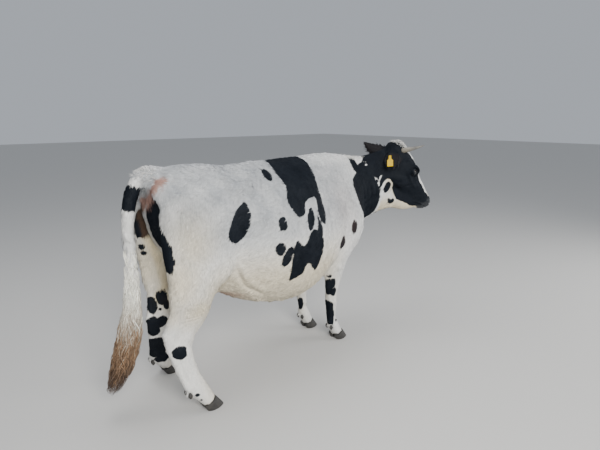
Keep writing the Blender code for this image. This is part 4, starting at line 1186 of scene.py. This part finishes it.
def grow_coat(verts, tris, normals, fields, keep):
    """Tufts over the whole skin, as closed slim pyramids that lie along the hair."""
    p = verts - BODY_ORIGIN
    size = hair_size(p, regions(p), fields)
    corner = verts[tris]
    area = norms(np.cross(corner[:, 1] - corner[:, 0], corner[:, 2] - corner[:, 0])) / 2
    total = np.cumsum(area * np.mean((keep / size ** 1.35)[tris], axis=1))
    picks = (np.arange(TUFTS) + rng.random(TUFTS)) / TUFTS * total[-1]
    where = tris[np.clip(np.searchsorted(total, picks), 0, len(tris) - 1)]
    a, b = rng.random((2, TUFTS))
    a, b = np.where(a + b > 1, 1 - a, a), np.where(a + b > 1, 1 - b, b)
    share = np.column_stack((1 - a - b, a, b))

    def at(values):
        if values.ndim == 1:
            return np.sum(values[where] * share, axis=1)
        return np.sum(values[where] * share[:, :, None], axis=1)

    root, n = at(verts), unit(at(normals))
    length = at(size) * rng.uniform(0.75, 1.3, TUFTS)
    p = root - BODY_ORIGIN
    zone = regions(p)
    way = lie(p, n, zone)
    way = unit(way + np.cross(n, way) * rng.normal(0, 0.2, TUFTS)[:, None])
    values = {key: at(value) for key, value in fields.items() if key not in ("mark", "bare")}
    values["mark"] = black_depth(p + way * (length * 0.42)[:, None])
    clump = waves(p, 0.022, 31)
    lift = np.clip(0.11 + 0.06 * clump + rng.normal(0, 0.06, TUFTS), 0.02, 0.5)
    lift = lift * (1 - 0.35 * step(-0.002, 0.002, values["mark"])) * (1 - 0.5 * zone["head"])
    big = (rng.random(TUFTS) < 0.11) * (1 - zone["head"]) * (1 - zone["ears"])
    length = length * (1 + 0.55 * big)
    width = length * rng.uniform(0.15, 0.24, TUFTS) * (1 + 0.25 * big)
    corners = tuft_corners(root, n, way, length, width,
                           np.minimum(length * np.sin(lift), TUFT_RISE))
    facing = tuft_normals(n, way)
    values["shade"] = np.clip(1 + 0.07 * clump + rng.normal(0, 0.07, TUFTS), 0.72, 1.2)
    uv = np.clip(chart(p, zone)[:, None, :] + PATCH[None], 0, 1)
    order = np.argsort(p[:, 0], kind="stable")
    look = coat_look("coat", False)
    for k, mine in enumerate(np.array_split(order, math.ceil(TUFTS / TUFTS_A_PIECE))):
        faces = (np.arange(len(mine))[:, None, None] * 4 + PYRAMID[None]).reshape(-1, 3)
        held = {key: np.repeat(value[mine], 4) for key, value in values.items()}
        me = mesh_of(f"coat_{k + 1}", corners[mine].reshape(-1, 3), faces, held,
                     uv[mine].reshape(-1, 2), facing[mine].reshape(-1, 3))
        placed(f"coat_{k + 1}", me, look)


def grow_locks(name, paths, radius, run, shade, look, uv_at, nodes=()):
    """Long locks: each a closed, three-sided spindle along its own path (count, steps, 3)."""
    count, steps, _ = paths.shape
    ahead = unit(np.gradient(paths, axis=1))
    side = unit(np.cross(ahead, np.array((0.31, 0.77, 0.55))))
    up = np.cross(ahead, side)
    t = np.linspace(0, 1, steps)
    thick = np.clip(np.minimum(1.0, 0.45 + 3.0 * t) * (1 - t ** 3) + 0.04, 0.04, 1)
    rings = np.empty((count, steps, 3, 3))
    facing = np.empty_like(rings)
    for k in range(3):
        angle = 2 * math.pi * k / 3
        out = side * math.cos(angle) + up * math.sin(angle)
        rings[:, :, k] = paths + out * (radius[:, None] * thick[None])[:, :, None]
        facing[:, :, k] = out
    faces = []
    for i in range(steps - 1):
        for k in range(3):
            a, b = i * 3 + k, i * 3 + (k + 1) % 3
            faces += [(a, b, b + 3), (a, b + 3, a + 3)]
    last = (steps - 1) * 3
    faces += [(0, 2, 1), (last, last + 1, last + 2)]
    size = steps * 3
    tris = (np.arange(count)[:, None, None] * size + np.array(faces)[None]).reshape(-1, 3)
    fields = {"run": np.repeat(run, 3, axis=1).reshape(-1), "shade": np.repeat(shade, size)}
    spot = np.repeat(uv_at, size, axis=0) + np.tile(
        np.column_stack((np.tile((-1, 0, 1), steps), np.repeat(np.linspace(-1, 1, steps), 3)))
        * 0.0015, (count, 1))
    me = mesh_of(name, rings.reshape(-1, 3), tris, fields, np.clip(spot, 0, 1),
                 facing.reshape(-1, 3))
    placed(name, me, look, nodes)


def tail_at(height):
    """Middle and half width of the tail at a height, in body coordinates."""
    x, y, z, half = np.array(TAIL)[::-1].T
    middle = np.stack((np.interp(height, z, x), np.interp(height, z, y), height), axis=-1)
    return middle, np.interp(height, z, half)


def grow_switch():
    """The tail's long wavy hair, from above the middle of the tail to the tip."""
    count, steps = TAIL_LOCKS, TAIL_LOCK_STEPS
    top = rng.uniform(0.36, 0.98, count)
    top = np.where(rng.random(count) < 0.25, rng.uniform(0.62, 1.02, count), top)
    end = np.maximum(top - rng.uniform(0.2, 0.4, count), 0.137 + rng.random(count) ** 2 * 0.16)
    t = np.linspace(0, 1, steps)
    height = top[:, None] + (end - top)[:, None] * t[None]
    middle, half = tail_at(height)
    angle = rng.uniform(0, 2 * math.pi, count)[:, None] + 0.5 * (t[None] - 0.5) * rng.normal(
        0, 1, count)[:, None]
    out = 0.3 + 0.62 * rng.random(count)[:, None] ** 0.6
    phase = np.stack((2.4 * np.sin(angle[:, 0] * 2) + 1.6 * np.sin(top * 21),
                      2.0 * np.cos(angle[:, 0] * 3) + 1.4 * np.cos(top * 17)))
    phase = phase + rng.normal(0, 0.55, (2, count))
    wave = 0.0062 * np.minimum(t * 3, 1.2)[None]
    radial = half * out * np.minimum(0.8 + t[None] * 0.5, 1.0)
    paths = middle.copy()
    paths[:, :, 0] += radial * np.cos(angle) + wave * np.sin(height * 58 + phase[0][:, None])
    paths[:, :, 1] += radial * np.sin(angle) + wave * np.cos(height * 49 + phase[1][:, None])
    run = np.clip((1.0 - height) / 0.86 + 0.06 * rng.normal(0, 1, count)[:, None], 0, 1)
    shade = np.clip(rng.normal(1, 0.16, count), 0.55, 1.35)
    look = hair_look("switch", (0.9, 0.89, 0.8), (0.3, 0.185, 0.105), (0.075, 0.05, 0.04))
    uv = np.column_stack((0.62 + 0.1 * (angle[:, 0] / (2 * math.pi) % 1),
                          0.52 + 0.3 * top))
    grow_locks("tail_hair", paths + BODY_ORIGIN, rng.uniform(0.0016, 0.0038, count), run, shade,
               look, uv, ("tail_switch",))


# ---------------------------------------------------------------- eyes, horns, claws, tag
def refined(nodes, grain, steps):
    """The nodes' shape as one fine smooth mesh."""
    me = remeshed(nodes, grain)
    verts, tris = arrays(me)
    return me, eased(verts, edges_of(me), steps, np.full(len(verts), 0.9)), tris


def shaped(me, verts, fields):
    moved_to(me, verts)
    finished(me, fields)
    me.update()
    return me


def box_of(name):
    """The middle and half size of a node's box."""
    verts, _ = node_arrays(name)
    return (verts.min(0) + verts.max(0)) / 2, np.ptp(verts, axis=0) / 2


def make_horns():
    look = horn_look()
    for name, side in SIDES.items():
        me, verts, tris = refined((f"horn_{name}",), HORN_GRAIN, 30)
        q = to_head(verts - BODY_ORIGIN)
        run = np.clip((q[:, 1] * side - 0.06) / max(np.ptp(q[:, 1]) - 0.005, 0.05), 0, 1)
        rings = np.sin(run * 150 + 2.0 * waves(q, 0.03, 61)) * 0.00045 * step(0.55, 0.0, run)
        grain = 0.0003 * waves(q * (1, 0.25, 1), 0.006, 62)
        verts = verts + point_normals(verts, tris) * (rings + grain - 0.0006)[:, None]
        placed(f"horn_detail_{name}", shaped(me, verts, {"run": run}), look,
               (f"horn_{name}",))


def make_claws():
    look = claw_look()
    names = [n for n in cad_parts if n.startswith("claw_") or n.startswith("dewclaw_")]
    for foot in ("fore_right", "fore_left", "hind_right", "hind_left"):
        mine = [n for n in names if f"claw_{foot}" in n]
        me, verts, tris = refined(mine, CLAW_GRAIN, 8)
        for name in [n for n in mine if n.startswith("dew")]:
            middle, half = box_of(name)
            near = np.all(np.abs(verts - middle) < half * 1.15, axis=1)
            low = np.clip((middle[2] - verts[:, 2]) / half[2], -1, 1) * near
            slim = 1 - 0.42 * np.maximum(low, 0) ** 1.5 - 0.1 * np.maximum(-low, 0)
            verts[:, :2] = np.where(near[:, None], middle[:2] + (verts[:, :2] - middle[:2])
                                    * slim[:, None], verts[:, :2])
            verts[:, 2] -= 0.004 * np.maximum(low, 0)
        floor = CAD_LOW.z
        rise = np.clip((verts[:, 2] - floor) / 0.06, 0, 1)
        rings = 0.0005 * np.sin((verts[:, 2] - 0.35 * verts[:, 0]) * 720) * step(0.05, 0.3, rise)
        verts = verts + point_normals(verts, tris) * (rings - 0.0002)[:, None]
        verts[:, 2] = np.where(rise < 0.05, floor, np.maximum(verts[:, 2], floor))
        placed(f"claws_{foot}", shaped(me, verts, {"run": rise}), look, mine)


def eye_look():
    look = Look("eye", 0.06)
    look.set("Specular IOR Level", 0.6)
    look.set("Coat Weight", 0.8)
    look.set("Coat Roughness", 0.03)
    fibres = look.ramp(look.noise(420.0, 4.0, 0.6), 0.35, 0.7)
    iris = look.mix(fibres, (0.01, 0.006, 0.004), (0.03, 0.016, 0.009))
    white = look.mix(look.ramp(look.noise(150.0, 3.0), 0.4, 0.7), (0.2, 0.15, 0.12),
                     (0.1, 0.06, 0.045))
    colour = look.mix(look.ramp(look.field("ring"), 0.66, 0.76), iris, white)
    return look.colour(look.mix(look.ramp(look.field("pupil"), 0.9, 1.1), (0.004, 0.006, 0.01),
                                colour))


def make_eyes():
    """Eyeballs from rings round the gaze, with a bulging cornea and a lying oval pupil."""
    look = eye_look()
    rows, turns = 34, 56
    lat, lon = np.meshgrid(np.linspace(0.02, math.pi - 0.02, rows),
                           np.arange(turns) * 2 * math.pi / turns, indexing="ij")
    a, b = np.sin(lat) * np.cos(lon), np.sin(lat) * np.sin(lon)
    size = (EYE_RADIUS - 0.0004) + CORNEA_BULGE * bell(lat, 0.5)
    pupil = np.hypot(a / 0.4, b / 0.22).ravel() + 9.0 * (lat.ravel() > 1.4)
    faces = []
    for i in range(rows - 1):
        for k in range(turns):
            m = (k + 1) % turns
            faces.append((i * turns + k, (i + 1) * turns + k, (i + 1) * turns + m, i * turns + m))
    for name, side in SIDES.items():
        out = mirrored(unit(np.array((0.3, 0.93, 0.1))), side)
        along = square_to(out, np.array((1.0, 0.0, -0.1)))
        up = np.cross(along, out)
        q = (mirrored(EYE_AT, side) + (a * size)[..., None] * along + (b * size)[..., None] * up
             + (np.cos(lat) * size)[..., None] * out).reshape(-1, 3)
        me = mesh_of(f"eyeball_{name}", from_head(q) + BODY_ORIGIN, np.array(faces),
                     {"ring": lat.ravel() / (math.pi / 2), "pupil": pupil})
        shape = bmesh.new()
        shape.from_mesh(me)
        bmesh.ops.holes_fill(shape, edges=shape.edges, sides=turns)
        bmesh.ops.recalc_face_normals(shape, faces=shape.faces)
        shape.to_mesh(me)
        shape.free()
        placed(f"eyeball_{name}", finished(me, {}), look, (f"eye_{name}",))


def paint_tag():
    """The tag and its button keep their CAD meshes."""
    tag = tag_look()
    for name in ("ear_tag", "ear_tag_button"):
        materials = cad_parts[name].data.materials
        materials.clear()
        materials.append(tag)


# ---------------------------------------------------------------- longer hair
def brush(name, root, way, length, radius, curl, fall, look, steps=6):
    """Locks from given roots: way is their first direction, fall what they bend towards."""
    count = len(root)
    t = np.linspace(0, 1, steps)
    length = length * rng.uniform(0.65, 1.25, count)
    way = unit(way + rng.normal(0, 0.16, (count, 3)))
    side = unit(np.cross(way, rng.normal(size=(count, 3))))
    bend = np.broadcast_to(np.asarray(fall, float), (count, 3))
    phase = rng.uniform(0, 6.28, count)
    paths = (root[:, None] + way[:, None] * (length[:, None] * t)[..., None]
             + bend[:, None] * (length[:, None] * t ** 2)[..., None]
             + side[:, None] * (curl * (np.sin(t * 7 + phase[:, None]) - np.sin(phase)[:, None])
                                * np.minimum(t * 2, 1))[..., None])
    along = 0.3 * np.broadcast_to(t, (count, steps))
    shade = np.clip(rng.normal(1, 0.14, count), 0.6, 1.3)
    p = root - BODY_ORIGIN
    thick = radius * rng.uniform(0.7, 1.3, count)
    grow_locks(name, paths, thick, along, shade, look, chart(p, regions(p)))


def spots_on(verts, normals, share, count):
    """Random places on the skin, by each point's share."""
    pick = rng.choice(len(verts), count, p=share / share.sum())
    return verts[pick] + rng.normal(0, 0.0015, (count, 3)), normals[pick]


def grow_poll(verts, normals, look):
    p = verts - BODY_ORIGIN
    q = to_head(p)
    forward, left = HEAD_AXES[:, 0], HEAD_AXES[:, 1]
    crown = bell(q[:, 0] + 0.035, 0.03) * bell(q[:, 1], 0.038) * (q[:, 2] > -0.06)
    root, n = spots_on(verts, normals, crown * (regions(p)["ears"] < 0.2), POLL_LOCKS)
    away = to_head(root - BODY_ORIGIN)
    way = n * 0.3 + left * (away[:, 1:2] * 12.0) + forward * (away[:, :1] + 0.05) * 9.0
    brush("poll_tuft", root - n * 0.002, way, 0.032, 0.0012, 0.0042, -n * 0.3 + forward * 0.1,
          look)


def grow_back(verts, normals, look):
    """The crest's tuft in front of the withers, and the one over the tail's root."""
    p = verts - BODY_ORIGIN
    crest = bell(p[:, 0] - 0.735, 0.06) * bell(lateral(p) + 0.012, 0.022) * (p[:, 2] > 1.3)
    root, n = spots_on(verts, normals, crest, CREST_LOCKS)
    brush("crest_tuft", root - n * 0.002, n * 0.28 + np.array((0.6, -0.25, 0)), 0.028, 0.0014,
          0.003, -n * 0.15, look)
    dock = bell(norms(p - (-0.862, -0.02, 1.365)), 0.045)
    root, n = spots_on(verts, normals, dock, TAIL_HEAD_LOCKS)
    brush("tail_head_tuft", root - n * 0.002, n * 0.35 + np.array((-0.7, -0.1, 0)), 0.026,
          0.0014, 0.003, (0, 0, -0.15), look)


def grow_pasterns(verts, look):
    """Hair round the dewclaws."""
    root, way = [], []
    for name in [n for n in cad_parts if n.startswith("dewclaw_")]:
        middle, half = box_of(name)
        leg = verts[np.argmin(norms(verts - middle))]
        away = unit((middle - leg) * (1, 1, 0))
        across = np.array((-away[1], away[0], 0.0))
        for _ in range(DEWCLAW_LOCKS):
            turn = rng.uniform(-1.2, 1.2)
            spot = (middle - away * half[0] * rng.uniform(0.2, 1.1) + across * math.sin(turn) * 0.016
                    + np.array((0, 0, 0.008 + 0.014 * math.cos(turn) + rng.normal(0, 0.002))))
            root.append(spot)
            way.append(away * 0.55 + across * math.sin(turn) * 0.3 - np.array((0, 0, 0.75)))
    brush("dewclaw_hair", np.array(root), np.array(way), 0.022, 0.0015, 0.0008, (0, 0, -0.1),
          look, steps=4)


def grow_ear_fringe(name, side, verts, normals, look):
    """Hair along the edges of the ear's opening."""
    p = verts - BODY_ORIGIN
    base, way = ear(side)
    mouth = square_to(way, unit(LEVEL_HEAD @ EAR_OPEN[side]))
    brink = np.cross(way, mouth)
    d = p - base
    rim = (regions(p)["ears"] * (np.abs(d @ brink) > 0.022) * (normals @ mouth > -0.2)
           * (d @ way > 0.02))
    rim = rim * (to_head(p)[:, 1] * side > 0) + 1e-9
    root, n = spots_on(verts, normals, rim, EAR_LOCKS)
    edge = np.sign((root - BODY_ORIGIN - base) @ brink)[:, None] * brink
    brush(f"ear_fringe_{name}", root - n * 0.001, edge * 0.55 + mouth * 0.35 + way * 0.75,
          0.026, 0.0011, 0.002, -edge * 0.2 + np.array((0, 0, -0.2)), look)


def grow_lashes(name, side, look):
    """Lashes along the upper lid."""
    centre, line, up, gaze = eye_frame(np.zeros((1, 3)), side)[-1]
    angle = np.linspace(math.radians(12), math.radians(160), LASHES)
    rim = np.column_stack((np.cos(angle) * LID_HALF[0] * 1.04,
                           np.sin(angle) * LID_HALF[1] * 1.04 + 0.0015))
    rise = np.sqrt((EYE_RADIUS + 0.0042) ** 2 - np.sum(rim ** 2, axis=1))
    root = from_head(centre + rim[:, :1] * line + rim[:, 1:] * up + rise[:, None] * gaze)
    way = np.tile((gaze * 0.9 + up * 0.35 + line * 0.25) @ HEAD_AXES.T, (len(root), 1))
    brush(f"lashes_{name}", root + BODY_ORIGIN, way, 0.019, 0.00065, 0.0006,
          -(up @ HEAD_AXES.T) * 0.15, look, steps=5)


def grow_brushes(verts, normals):
    """Every tuft and fringe of longer hair, in the order of their random draws."""
    white = hair_look("white_locks", (0.8, 0.79, 0.76), (0.76, 0.74, 0.69), (0.66, 0.62, 0.54))
    dark = hair_look("dark_locks", (0.012, 0.013, 0.017), (0.022, 0.02, 0.022),
                     (0.045, 0.036, 0.032))
    grow_poll(verts, normals, white)
    grow_back(verts, normals, white)
    grow_pasterns(verts, white)
    for name, side in SIDES.items():
        grow_ear_fringe(name, side, verts, normals, dark)
        grow_lashes(name, side, dark)


def make_skin():
    """The skin, drawn in under the coat except at the eyes. Returns what the coat grows on."""
    me = skin_mesh()
    me.name = "skin"
    verts, tris = arrays(me)
    p = verts - BODY_ORIGIN
    zone = regions(p)
    depth = COAT_DEPTH * (1 - 0.5 * zone["head"] - 0.7 * zone["ears"] - 0.4 * zone["feet"])
    depth = depth * (1 - 0.9 * zone["teats"])
    for side in (-1, 1):
        _, _, o, rho, _ = eye_frame(to_head(p), side)
        depth = depth * np.where(np.abs(o) < 0.05, step(1.5, 3.0, rho), 1)
    verts -= point_normals(verts, tris) * depth[:, None]
    fields = colour_fields(verts - BODY_ORIGIN)
    placed("skin", shaped(me, verts, fields), coat_look("hide", True), FLESH)
    keep = (1 - fields["bare"]) * (1 - 0.5 * fields["pink"]) * (1 - zone["teats"])
    return verts, tris, point_normals(verts, tris), fields, keep


studio()
camera()
verts, tris, normals, fields, keep = make_skin()
grow_coat(verts, tris, normals, fields, keep)
grow_switch()
grow_brushes(verts, normals)
make_horns()
make_claws()
make_eyes()
paint_tag()
